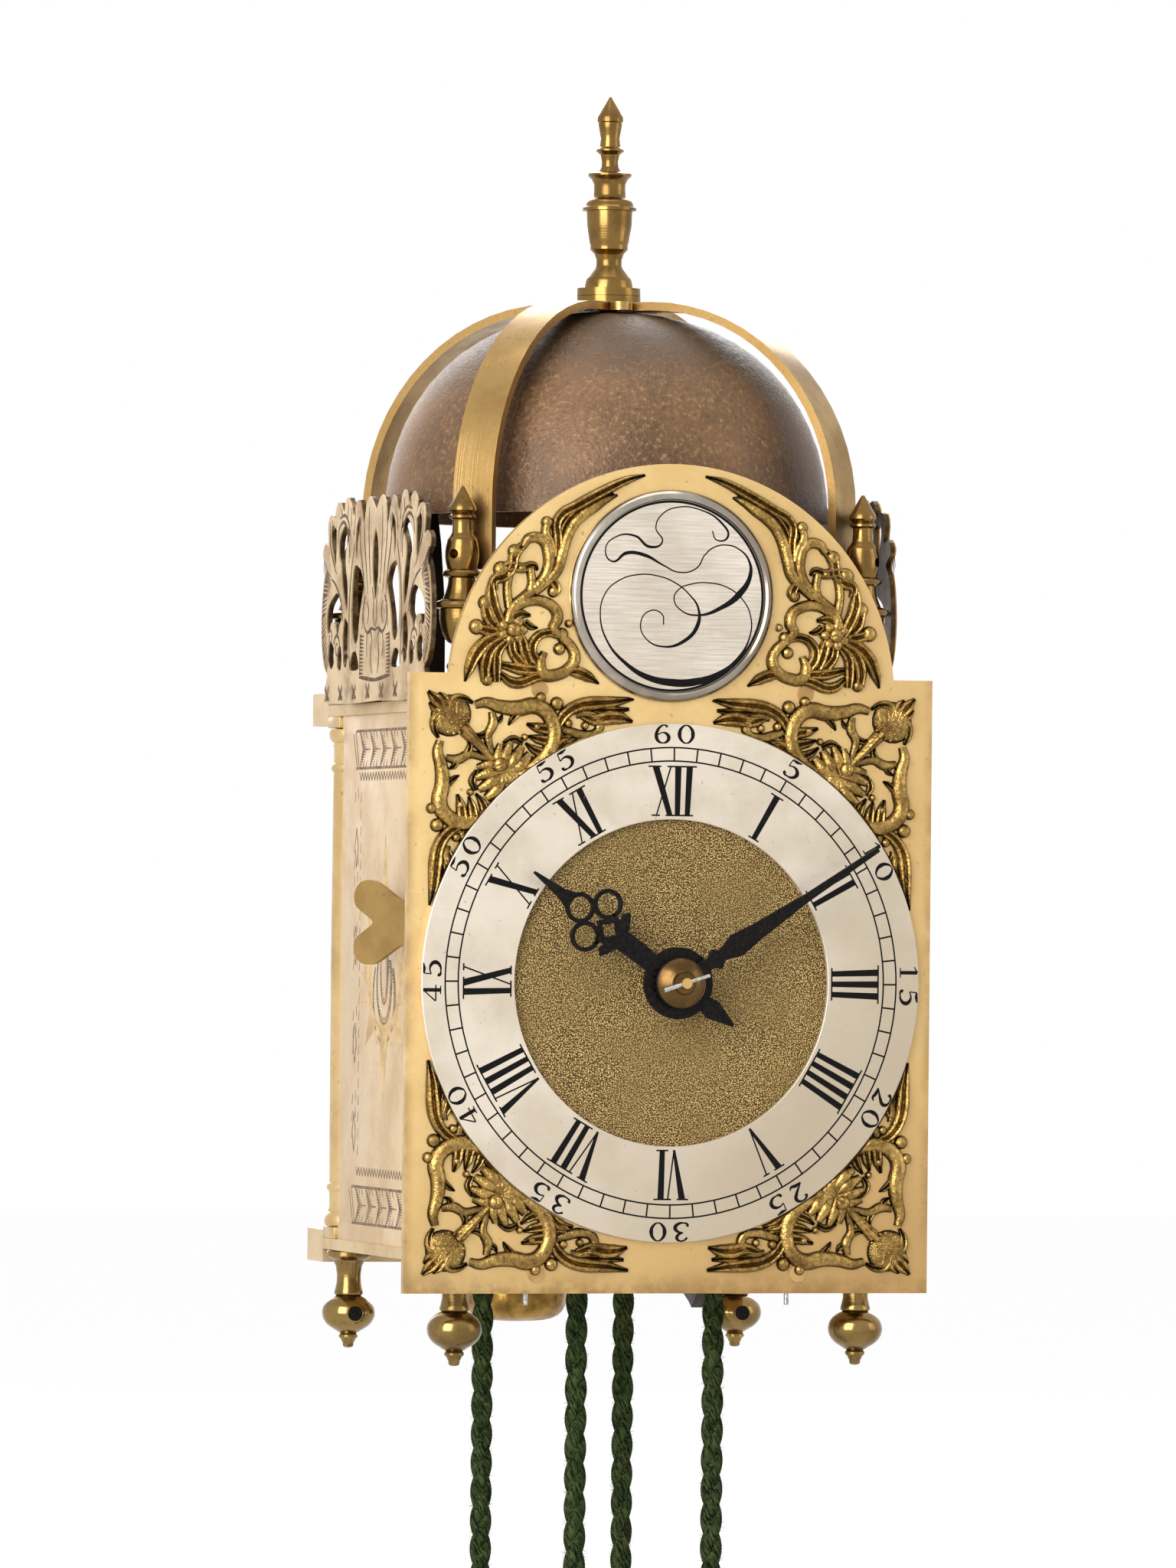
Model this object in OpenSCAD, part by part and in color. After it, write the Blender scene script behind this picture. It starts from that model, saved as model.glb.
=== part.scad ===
// Small arched-dial lantern clock: posted brass frame, bell on four straps, verge going train in
// front and count-wheel striking train behind, worked by two ropes over grooved pulleys.
// Inside each module X is right, Y is depth from the dial's front face and Z is height from the
// hands' centre. place() moves the whole clock so that the origin is where the wall hook lifts
// the hoop. Gears are drawn seen from the front.

/* [Frame] */
// Width of the top and bottom plates
plate_w = 97; // [94:0.2:104]
// Depth of the top and bottom plates, front to back
plate_d = 95.3; // [93:0.1:100]
// Thickness of the plates
plate_t = 2.4; // [2:0.1:3.2]
// Clear height between the plates
frame_h = 113; // [110:0.5:122]
// Side of the square block at each end of a pillar
block_side = 9.4; // [9:0.1:10.4]
// Height of that block
block_h = 2.4; // [1.5:0.1:3.5]
// Radius of the pillar shafts
shaft_r = 2.65; // [2.3:0.05:3]
// Radius of the pillars' end studs
stud_r = 1.6; // [1.3:0.05:1.9]
// Gap between the dial's back and the frame's front edge
dial_gap = 1.2; // [0.8:0.1:2]

/* [Dial] */
// Width of the dial plate
dial_w = 114; // [108:0.5:120]
// Thickness of the dial plate
dial_t = 2; // [1.5:0.1:2.5]
// Hands' centre to the dial's bottom edge
dial_down = 64.8; // [62:0.2:72]
// Hands' centre to the dial's shoulders
dial_up = 64; // [62:0.2:68]
// Radius of the arch
arch_r = 48.6; // [44:0.2:52]
// Outer radius of the chapter ring
ring_r = 54.2; // [50:0.2:56]
// Inner radius of the chapter ring
ring_in = 34.1; // [30:0.1:36]
// Thickness of the chapter ring
ring_t = 1.4; // [1:0.1:2]
// Outer radius of the arch boss
boss_r = 22.2; // [18:0.1:24]
// Thickness of the spandrel castings
cast_t = 1.8; // [1.2:0.1:2.4]
// Length of the minute hand
minute_len = 51.5; // [46:0.5:54]
// Length of the hour hand
hour_len = 38.8; // [34:0.2:42]
// Angle of the minute hand past twelve
minute_a = 56.6; // [0:0.2:360]
// Angle of the hour hand past twelve
hour_a = 306; // [0:0.2:360]
// Thickness of the hands
hand_t = 0.9; // [0.6:0.1:1.2]

/* [Bell] */
// Outer radius of the bell at its rim
bell_r = 47.4; // [42:0.2:48]
// Height of the bell
bell_h = 44.5; // [40:0.5:48]
// Thickness of the bell's wall
bell_t = 1.9; // [1.4:0.1:2.4]
// Height of the bell's rim above the top plate
bell_up = 39.5; // [38:0.5:44]
// Width of the bell straps
strap_w = 9.4; // [7:0.2:11]
// Thickness of the bell straps
strap_t = 1.8; // [1.2:0.1:2.4]
// Height of the side frets
fret_h = 44.4; // [40:0.2:48]
// Thickness of the side frets
fret_t = 1.3; // [1:0.1:2]

/* [Doors] */
// Thickness of the side doors
door_t = 1.4; // [1:0.1:1.8]
// Door inset from the plates' side edges
door_in = 0.4; // [0.2:0.1:1]
// Gap above and below a door
door_gap = 0.5; // [0.3:0.1:1]
// Radius of the hinge pins
hinge_r = 1; // [0.8:0.1:1.2]

/* [Trains] */
// Module of both great wheels
great_m = 0.893; // [0.86:0.001:0.9]
// Thickness of the wheels
wheel_t = 1.5; // [1.2:0.1:1.8]
// Radius of the arbors
arbor_r = 1.1; // [0.9:0.05:1.2]
// Running clearance of a pivot in its hole
pivot_gap = 0.05; // [0.03:0.01:0.08]
// Thickness of the upright movement bars
bar_t = 2.5; // [2:0.1:3]
// Width of the upright movement bars
bar_w = 13; // [11:0.5:15]
// Radius of the rope's centre on the front pulley
pull_f = 15; // [13:0.1:15.4]
// Radius of the rope's centre on the rear pulley
pull_r = 15.8; // [13:0.1:16.4]
// Diameter of the ropes
rope_d = 4.4; // [3.6:0.1:5]
// Length of rope that hangs below the bottom plate
rope_down = 71; // [60:1:120]
// Length of the pendulum from the verge to the bob's foot
pend_len = 145; // [143:0.1:148]
// Radius of the pendulum bob
bob_r = 11.2; // [9:0.1:12]

/* [Hidden] */
$fn = 48;
e = 0.01;

// frame places
hw = plate_w/2;
yF = dial_t + dial_gap;
yR = yF + plate_d;
zT = frame_h/2;
zTT = zT + plate_t;
zB = -frame_h/2;
zBB = zB - plate_t;
px = hw - block_side/2;
pf = yF + block_side/2;
pr = yR - block_side/2;
ym = (pf + pr)/2;
diag_r = sqrt(px*px + pow((pr - pf)/2, 2));
diag_a = atan2((pr - pf)/2, px);
stud_gap = 0.05;
stud_len = 5;
// wall side
bar_deep = 13;
wall_y = yR + bar_deep;
hoop_y = wall_y - 2;
hoop_z = zTT + 4.2;
// spandrels, finials and straps
fin_bulge = 3.6;
fin_peg_z = zTT + 30;
strap_r = diag_r - fin_bulge - 0.4;
strap_arc = 45;
bell_zr = zTT + bell_up;
bell_zt = bell_zr + bell_h;
strap_z = bell_zt + strap_t;
// trains
bar_fy = yF + 8;
bar_my = ym - 1;
bar_ry = yR - 9.4;
great_n = 48;
pin_n = 8;
cd_great = great_m*(great_n + pin_n)/2;
go_x = 0.8;
go_z = -sqrt(cd_great*cd_great - go_x*go_x);
great_z = -cd_great;
gx = -3;
go_a = atan2(-go_z, -go_x);
front_py = 18.6;
rear_py = yR - 23.3;
cheek_t = 1.1;
pull_w = rope_d + 0.8;
cw_n = 72;
cp_n = 6;
ctr_x = -4.5;
ctr_z = 16.2;
cd_ctr = sqrt(ctr_x*ctr_x + ctr_z*ctr_z);
cw_m = 2*cd_ctr/(cw_n + cp_n);
k_n = 60;
k_r = cd_ctr - arbor_r - 1.1;
k_m = 2*k_r/k_n;
kp_r = k_m*6/2;
k_y = 37;
crown_y = k_y + 4.6 + kp_r;
crown_n = 31;
crown_r = 10.6;
crown_wall = 0.8;
crown_z = zTT + 2.6;
crown_top = crown_z + 5.6;
verge_z = crown_top + 3.1;
pend_y = yR + 1.6;
mw_x = 0;
mw_z = -15;
// striking train
hoop_m = 0.6;
hoop_n = 48;
fly_n = 6;
fly_a = 48;
cd_fly = hoop_m*(hoop_n + fly_n)/2;
fly_x = gx + cd_fly*cos(fly_a);
fly_z = great_z + cd_great + cd_fly*sin(fly_a);
count_n = 78;
rep_n = 6;
count_m = 0.7;
cd_count = count_m*(count_n + rep_n)/2;
count_z = great_z + cd_count;
sg_y = rear_py - pull_w/2 - cheek_t - 0.8 - wheel_t;
hoop_y2 = sg_y - 7.4;
hammer_x = -36;
hammer_z = 12;

function arc(cx, cy, r, a0, a1, n) = [for (i = [0:n]) let (a = a0 + (a1 - a0)*i/n)
    [cx + r*cos(a), cy + r*sin(a)]];
function rev(v) = [for (i = [len(v) - 1:-1:0]) v[i]];
function lerp(a, b, t) = a + (b - a)*t;
// a smooth line through hand-placed points
function cat(p0, p1, p2, p3, t) = 0.5*((2*p1) + (p2 - p0)*t + (2*p0 - 5*p1 + 4*p2 - p3)*t*t
    + (3*p1 - p0 - 3*p2 + p3)*t*t*t);
function smooth(p, k) = [for (i = [0:len(p) - 2]) for (j = [0:k - 1])
    cat(p[max(i - 1, 0)], p[i], p[i + 1], p[min(i + 2, len(p) - 1)], j/k), p[len(p) - 1]];
function unit(v) = v/norm(v);
function side(p, i) = let (d = unit(p[min(i + 1, len(p) - 1)] - p[max(i - 1, 0)])) [-d[1], d[0]];
// a leaf or scroll stroke: points [x, y, width]
module stroke(p, k = 3) {
    s = smooth(p, k);
    q = [for (v = s) [v[0], v[1]]];
    polygon([for (i = [0:len(q) - 1]) q[i] + side(q, i)*s[i][2]/2,
        for (i = [len(q) - 1:-1:0]) q[i] - side(q, i)*s[i][2]/2]);
    for (i = [0, len(q) - 1]) if (s[i][2] > 1) translate(q[i]) circle(s[i][2]/2 + 0.06, $fn = 16);
}
module place() translate([0, -hoop_y, -hoop_z]) children();
// extrusion and cylinder along Y from y0 to y1
module ext(y0, y1) translate([0, y1, 0]) rotate([90, 0, 0]) linear_extrude(y1 - y0) children();
module ycyl(x, z, y0, y1, r) translate([x, y1, z]) rotate([90, 0, 0]) cylinder(y1 - y0, r, r);
module xcyl(y, z, x0, x1, r) translate([x0, y, z]) rotate([0, 90, 0]) cylinder(x1 - x0, r, r);
module zcyl(x, y, z0, z1, r) translate([x, y, z0]) cylinder(z1 - z0, r, r);
module at4() for (s = [-1, 1]) { translate([s*px, pf, 0]) children();
    translate([s*px, pr, 0]) children(); }

// toothed outline: n teeth of module m, half widths as shares of the pitch
function tooth(n, m, add, ded, wp, wt, wr) = let (R = n*m/2, p = m*180) [for (i = [0:n - 1])
    for (v = [[R - ded, -wr], [R, -wp], [R + add, -wt], [R + add, wt], [R, wp], [R - ded, wr]])
    let (a = i*360/n + v[1]*360/n) [v[0]*cos(a), v[0]*sin(a)]];
module wheel2(n, m) polygon(tooth(n, m, 0.85*m, 1.25*m, 0.2, 0.07, 0.235));
module leaf2(n, m) polygon(tooth(n, m, 0.7*m, 1.25*m, 0.17, 0.06, 0.17));
// crossed-out wheel with four arms, a rim and a hub
module crossed(n, m, rim, hub, a0 = 45, arms = 4) {
    R = n*m/2 - 1.25*m;
    difference() {
        wheel2(n, m);
        for (i = [0:arms - 1]) rotate(a0 + i*360/arms) difference() {
            intersection() {
                circle(R - rim);
                translate([0, 0]) polygon([[0, 0], [2*R*cos(180/arms), -2*R*sin(180/arms)],
                    [2*R*cos(180/arms), 2*R*sin(180/arms)]]);
            }
            circle(hub);
            for (s = [-1, 1]) rotate(s*180/arms) translate([0, -1.3]) square([2*R, 2.6]);
        }
    }
}
module arbor(x, z, y0, y1, r = arbor_r) {
    // the pivots at the ends are thinner than the arbor
    ycyl(x, z, y0, y1, r);
    ycyl(x, z, y0 - 2, y0 + e, 0.6);
    ycyl(x, z, y1 - e, y1 + 2, 0.6);
}

module plate2(h) {
    difference() {
        translate([-hw, yF]) square([plate_w, plate_d]);
        for (s = [-1, 1]) for (y = [pf, pr]) translate([s*px, y]) circle(stud_r + stud_gap);
        for (s = [-1, 1]) translate([s*door_px, door_py]) circle(hinge_r + pivot_gap);
        for (y = [bar_fy, bar_my, bar_ry]) translate([-3 - 0.05, y - 0.05])
            square([6.1, bar_t + 0.1]);
    }
}
door_px = hw - door_in - door_t/2 - 0.4;
door_py = pr - block_side/2 - 1.7;
module top_plate() color("#c9a95a") translate([0, 0, zT]) difference() {
    linear_extrude(plate_t) difference() {
        plate2();
        // ways for the crown arbor and the hammer's stem
        translate([ctr_x, crown_y]) circle(arbor_r + 1);
        translate([hammer_x - 4, ham_y - 3]) square([17, 6]);
    }
}
module bottom_plate() color("#c9a95a") translate([0, 0, zBB]) linear_extrude(plate_t) difference() {
    plate2();
    for (s = [-1, 1]) {
        translate([go_x + s*pull_f, front_py]) circle(rope_d/2 + 0.9);
        translate([gx + s*pull_r, rear_py]) circle(rope_d/2 + 0.9);
    }
    for (s = [-1, 1]) translate([s*28.5, dial_pin_y]) circle(0.55);
}
dial_pin_y = yF + 4.6;

// half of a pillar's turned outline, from the middle to the block
function pillar_half() = let (t = frame_h/2 - block_h, c = block_side/2 - 0.1) concat(
    [[shaft_r + 0.1, 0], [shaft_r, t - 8.7], [shaft_r + 0.4, t - 8.4], [shaft_r + 0.55, t - 7.9],
    [shaft_r + 0.4, t - 7.4], [shaft_r, t - 7.1], [shaft_r, t - 3.2], [shaft_r + 0.35, t - 2.8]],
    [for (i = [0:6]) [shaft_r + 0.35 + (c - shaft_r - 0.35)*sin(i*15), t - 2.5*cos(i*15)]]);
module pillar() {
    h = pillar_half();
    rotate_extrude() polygon(concat([[0, -(frame_h/2 - block_h)]],
        [for (i = [len(h) - 1:-1:0]) [h[i][0], -h[i][1]]], h, [[0, frame_h/2 - block_h]]));
    for (s = [-1, 1]) translate([-block_side/2, -block_side/2,
        s > 0 ? frame_h/2 - block_h : -frame_h/2]) cube([block_side, block_side, block_h]);
    translate([0, 0, -frame_h/2 - plate_t - stud_len]) cylinder(frame_h + 2*(plate_t + stud_len),
        stud_r, stud_r);
}
module pillars_front() color("#cfae5e") for (s = [-1, 1]) translate([s*px, pf, 0]) pillar();
module pillars_rear() color("#cfae5e") for (s = [-1, 1]) translate([s*px, pr, 0]) pillar();

// corner finial above the top plate
module finial(a) translate([0, 0, zTT]) difference() {
    rotate_extrude() polygon(concat([[0, 0], [3.9, 0], [3.9, 0.7], [3.2, 1.3], [2.5, 3], [2.2, 5.4],
        [2.9, 6], [3.1, 6.6], [2.9, 7.2], [2, 7.7], [1.9, 9.5], [2.1, 11.3]],
        [for (i = [0:6]) [2.1 + 2.6*sin(i*15), 11.3 + 7.2*(1 - cos(i*15))]],
        [[5.5, 18.8], [5.75, 19.4], [5.5, 20], [4, 20.6]],
        [for (i = [0:5]) [4 - 1.15*sin(i*18), 20.6 + 4.4*i/5]],
        [[3.9, 25.4], [4.15, 25.9], [3.9, 26.4], [3.1, 26.9]],
        [for (i = [0:8]) [3.1 + 0.5*sin(i*22.5), 26.9 + 6.2*i/8]],
        [[2.2, 34.4], [2.05, 36.6], [2.15, 37.2], [2.75, 37.6], [2.75, 38.1], [2.3, 38.5],
        [2.9, 39.2], [2.8, 39.9], [0.3, 44.2], [0, 44.3]]));
    translate([0, 0, -e]) cylinder(stud_len + 0.4, stud_r + stud_gap, stud_r + stud_gap);
    rotate([0, 0, a]) translate([-6, 0, fin_peg_z - zTT]) rotate([0, 90, 0]) cylinder(12, 1, 1);
}
module finials_front() color("#c4a14e") for (s = [-1, 1]) translate([s*px, pf, 0]) finial(s*diag_a*-1);
module finials_rear() color("#c4a14e") for (s = [-1, 1]) translate([s*px, pr, 0]) finial(s*diag_a);

// turned foot hanging from zBB
module foot(hole) translate([0, 0, zBB]) difference() {
    rotate_extrude() polygon(concat([[0, 0], [4.4, 0], [4.65, -0.5], [4.65, -1.4], [4.3, -1.9], [3.4, -2.2]],
        [for (i = [1:5]) [3.4 - 0.85*sin(i*18), -2.2 - 3.4*i/5]], [[2.6, -6.4], [2.9, -7.6],
        [3.3, -8], [3.3, -8.6]], [for (i = [0:12]) let (a = 62 - i*12) [5.8*cos(a), -12.7 + 4.6*sin(a)]],
        [[1.7, -17.5], [1.5, -18], [1.95, -18.5], [1.95, -19.2], [1.5, -19.7], [1.15, -20],
        [1.15, -21.4], [0.7, -22.1], [0, -22.2]]));
    translate([0, 0, -stud_len - 0.4]) cylinder(stud_len + 0.5, stud_r + stud_gap, stud_r + stud_gap);
    if (hole) translate([0, 7, -12.7]) rotate([90, 0, 0]) cylinder(14, 1.6, 1.6);
}
module feet_front() color("#b8974a") for (s = [-1, 1]) translate([s*px, pf, 0]) foot(false);
module feet_rear() color("#b8974a") for (s = [-1, 1]) translate([s*px, pr, 0]) foot(true);

// pierced side fret: y is along the side from its middle, z above the top plate
fret_half = [[0, 0.2], [38.8, 0.2], [39.4, 6.4], [42, 8], [44, 12], [44.8, 18], [44, 24], [42.6, 27.5],
    [40.6, 29.6], [43.4, 31.6], [43.8, 33.4], [41.6, 35], [39, 34.4], [39.8, 38], [38.6, 40.6],
    [35.6, 40.8], [33.4, 39.4], [33.6, 41.6], [31, 43.6], [28.6, 42.6], [26.6, 40.6], [25.4, 43.4],
    [22.8, 44.2], [20.4, 42], [18.4, 39.4], [16.4, 42.6], [13.8, 43.4], [11.6, 40.6], [9.8, 37.4],
    [8, 42], [5.2, 43.8], [2.6, 42.6], [0, 40.4]];
// pierced openings of one half
fret_holes = [
    [[13, 40], [16, 37.6], [16.4, 33], [15.4, 30.6], [14.6, 34.6], [12.6, 38]],
    [[21, 36.6], [25, 38.4], [29.4, 36], [30.4, 32.4], [28.6, 29.8], [27.6, 26.4], [26, 22.6],
        [23.4, 19.8], [22.8, 24.6], [24.6, 29.6], [24.4, 33]],
    [[32.6, 37.6], [36.2, 38.8], [37.4, 36.4], [36, 33], [33.4, 29.4], [32.6, 32.6]],
    [[12, 28.4], [17, 29.4], [19.2, 24.6], [19.4, 17], [17, 12.8], [14.2, 13.6], [12.8, 18.2],
        [11, 22], [9.4, 25.2]],
    [[28.2, 22], [31.6, 24], [36.4, 22.6], [39.6, 20.4], [40, 16.4], [37.8, 15.4], [36.4, 17.6],
        [33.4, 17.2], [31.2, 14.4], [29.6, 16.8], [27.6, 18.6]],
    [[22.2, 17], [25, 18.4], [26.8, 14.6], [26.4, 10.6], [24, 7.6], [22.4, 10.8]],
    [[35.8, 13.4], [38.4, 12.8], [38.8, 9.4], [36.4, 7.6], [34, 8.8], [33.6, 11.6]],
    [[15.6, 11], [19, 10.6], [20.4, 7.2], [13.4, 7.2], [14, 9.2]],
    [[28.2, 12.4], [30.6, 12], [31.4, 8.4], [28.6, 7.2], [27.4, 9.4]]];
module fret2() difference() {
    union() {
        polygon([for (p = smooth(fret_half, 2)) [p[0], p[1]*fret_h/44.4]]);
        mirror([1, 0]) polygon([for (p = smooth(fret_half, 2)) [p[0], p[1]*fret_h/44.4]]);
    }
    for (s = [0, 1]) mirror([s, 0]) for (h = fret_holes)
        polygon([for (p = smooth(concat(h, [h[0]]), 3)) [p[0], p[1]*fret_h/44.4]]);
    polygon([for (p = smooth([[0, 37], [2, 34], [2.6, 29], [1.6, 24.6], [0, 21.4], [-1.6, 24.6],
        [-2.6, 29], [-2, 34], [0, 37]], 3)) [p[0], p[1]*fret_h/44.4]]);
}
// the fret stands just outside the plate's edge on two bent lugs
fret_out = 1.2;
module fret(s) translate([0, ym, zTT]) mirror([s > 0 ? 0 : 1, 0, 0]) {
    translate([hw + fret_out, 0, 0]) rotate([90, 0, 90]) linear_extrude(fret_t) fret2();
    for (y = [-1, 1]) translate([hw - 5.5, y*27 - 3.5, 0]) cube([5.5 + fret_out + 0.2, 7, 1.2]);
}
module fret_left() color("#d9b98c") fret(-1);
module fret_right() color("#8a6a38") fret(1);

door_h = frame_h - 2*door_gap;
door_y0 = pf + block_side/2 + 0.5;
door_y1 = door_py + 1.4;
module door(s) mirror([s > 0 ? 0 : 1, 0, 0]) {
    difference() {
        translate([hw - door_in - door_t, door_y0, zB + door_gap])
            cube([door_t, door_y1 - door_y0, door_h]);
        for (z = [zB, zT - 5.2]) translate([hw - 5, door_py - 2.2, z]) cube([6, 8, 5.2]);
        // rivet hole of the thumb piece
        xcyl(hp, hp_z, hw - 4, hw + 2, 0.9);
    }
    // hinge knuckles with their pins, top and bottom
    for (t = [-1, 1]) {
        zcyl(door_px, door_py, t > 0 ? zT - 6 : zB + door_gap, t > 0 ? zT - door_gap : zB + 6, 1.45);
        zcyl(door_px, door_py, t > 0 ? zT - 3 : zBB + 0.4, t > 0 ? zTT - 0.4 : zB + 3, hinge_r);
    }
}
module door_left() color("#d8bf9c") door(-1);
module door_right() color("#d8bf9c") door(1);

// heart-shaped thumb piece, riveted near the door's front edge and bent outwards
hp = yF + 22.2;
hp_z = 12;
module handle(s) mirror([s > 0 ? 0 : 1, 0, 0]) {
    translate([hw - door_in, hp, hp_z]) {
        translate([0, -3.4, -4.6]) cube([0.9, 6.8, 9.2]);
        rotate([0, 90, 0]) translate([0, 0, -door_t - 0.6]) cylinder(door_t + 1.6, 0.85, 0.85);
        translate([0.02, 2.6, 0]) rotate([0, 0, -23]) rotate([90, 0, 90]) linear_extrude(0.9)
            polygon([for (p = smooth([[0.2, -4.6], [3.5, -4.9], [8, -7], [12.4, -8.8], [16.6, -8.6],
            [19, -6.4], [18.6, -3.6], [15.6, -1.8], [12.6, 0], [15.6, 1.8], [18.6, 3.6],
            [19, 6.4], [16.6, 8.6], [12.4, 8.8], [8, 7], [3.5, 4.9], [0.2, 4.6]], 3)) p]);
    }
}
module handle_left() color("#b99748") handle(-1);
module handle_right() color("#b99748") handle(1);

// dial plate with its feet, which lie above and below the frame's plates
foot_r = 1.9;
module dial_plate() color("#d7ac5c") {
    difference() {
        union() {
            ext(0, dial_t) union() {
                translate([-dial_w/2, -dial_down]) square([dial_w, dial_down + dial_up]);
                translate([0, dial_up - 4.2]) circle(arch_r, $fn = 96);
            }
            for (s = [-1, 1]) {
                ycyl(s*29, zTT + foot_r + 0.02, dial_t - e, yF + 8, foot_r);
                ycyl(s*28.5, zBB - foot_r - 0.02, dial_t - e, yF + 8, foot_r);
            }
        }
        ycyl(0, 0, -1, dial_t + 1, 4.4);
        for (s = [-1, 1]) {
            zcyl(s*29, dial_pin_y, zTT - 0.5, zTT + 6, 0.55);
            zcyl(s*28.5, dial_pin_y, zBB - 6, zBB + 0.5, 0.55);
        }
        for (p = screw_at) ycyl(p[0], p[1], -1, dial_t + 1, 0.95);
    }
}
// pins that hold the feet down on the plates
module dial_pins() color("#9a9a98") for (s = [-1, 1]) {
    zcyl(s*29, dial_pin_y, zTT + 0.02, zTT + 7.5, 0.5);
    zcyl(s*28.5, dial_pin_y, zBB - 8.6, zB + 1.2, 0.5);
}
module chapter_ring() color("#dcd8cc") ext(-ring_t, 0) difference() {
    circle(ring_r, $fn = 96);
    circle(ring_in, $fn = 96);
}
boss_x = -0.7;
boss_z = dial_up + 16.75;
module arch_boss() color("#dcd8cc") translate([boss_x, 0, boss_z]) rotate([90, 0, 0]) rotate_extrude($fn = 96)
    polygon([[0, 0], [boss_r, 0], [boss_r, 0.8], [boss_r - 0.35, 1.5], [boss_r - 0.9, 1.9],
    [boss_r - 1.4, 1.9], [boss_r - 1.9, 1.5], [boss_r - 2.1, 1], [0, 1]]);

// corner casting in the dial's bottom left corner, drawn from that corner; half of it, the other
// half mirrored in the diagonal
sp_half = [
    [[12.6, 5, 1.4], [16.6, 6.1, 2.8], [22.6, 6.2, 3.8], [26.8, 7.4, 4.4], [29.3, 10.6, 4.4],
        [28.9, 14.4, 4.6], [27.6, 17.4, 3.8], [25.2, 20.2, 2.2]],
    [[16.6, 15.6, 1.5], [16.4, 12, 1.5], [16.5, 7.4, 1.8]],
    [[31, 7.5, 2.6], [35.5, 6.6, 3.3], [40.5, 7.8, 4.2], [44.5, 6.8, 3.6], [48.4, 4.4, 0.6]],
    [[31.4, 13.6, 2], [34.4, 12.4, 3], [38.2, 12.7, 2.4], [40.2, 10.4, 2.2], [38.2, 8.4, 2]],
    [[27.6, 6, 2.6], [26.6, 4, 3], [26, 3.4, 2.2]],
    [[28.9, 11.8, 2.6], [26.3, 11.2, 1.7], [24.4, 10.6, 0.5]],
    [[27.8, 16.7, 2.2], [25.2, 16.9, 0.6]],
    [[30.8, 7.4, 2.4], [31.2, 5.2, 2.6], [31.6, 4, 1.4]],
    [[42, 8, 2.8], [44.6, 9.8, 2.2], [46.4, 10.2, 0.6]],
    [[20, 13.6, 2.4], [22.6, 14.2, 3.6], [24.8, 16.8, 2.6]]];
// k fits the casting to the room between the dial's corner and the ring
k_low = (norm([dial_w/2, dial_down]) - ring_r)/(norm([57, 64.8]) - 54.2);
k_up = (norm([dial_w/2, dial_up]) - ring_r)/(norm([57, 64]) - 54.2);
module spandrel2(k) intersection() {
    union() {
        for (p = sp_half) {
            stroke([for (v = p) v*k]);
            stroke([for (v = p) [v[1], v[0], v[2]]*k]);
        }
        // thistle head, its stem and the flower in the middle
        polygon(smooth([[3.6, 3.6], [7.4, 3.9], [11.4, 5.2], [12.6, 8.8], [11.6, 11.6], [8.8, 12.6],
            [5.2, 11.4], [3.9, 7.4], [3.6, 3.6]]*k, 3));
        stroke([[10.6, 10.6, 3.4], [13.6, 13.6, 1.9], [17, 17, 2.4]]*k);
        for (c = [[19.2, 19.2, 5.6], [16.2, 23.4, 3.2], [23.4, 16.2, 3.2], [23, 23, 3.4]]*k)
            translate([c[0], c[1]]) circle(c[2]);
    }
    // the ring covers nothing of the casting
    difference() {
        square(60);
        translate([dial_w/2, dial_down]) circle(ring_r + 0.25, $fn = 96);
    }
}
module spandrels_lower() color("#b48a3c") for (s = [0, 1]) mirror([s, 0, 0]) ext(-cast_t, 0) difference() {
    translate([-dial_w/2, -dial_down]) spandrel2(k_low);
    translate(screw_at[0]) circle(0.95);
}
module spandrels_upper() color("#b48a3c") for (s = [0, 1]) mirror([s, 0, 0]) ext(-cast_t, 0)
    mirror([0, 1]) difference() {
        translate([-dial_w/2, -dial_up]) intersection() {
            spandrel2(k_up);
            difference() {
                square(60);
                translate([dial_w/2, dial_up]) circle(ring_r + 0.25, $fn = 96);
                translate([dial_w/2, dial_up - boss_z]) circle(boss_r + 1, $fn = 96);
            }
        }
        translate([screw_at[2][0], -screw_at[2][1]]) circle(0.95);
    }
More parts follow.
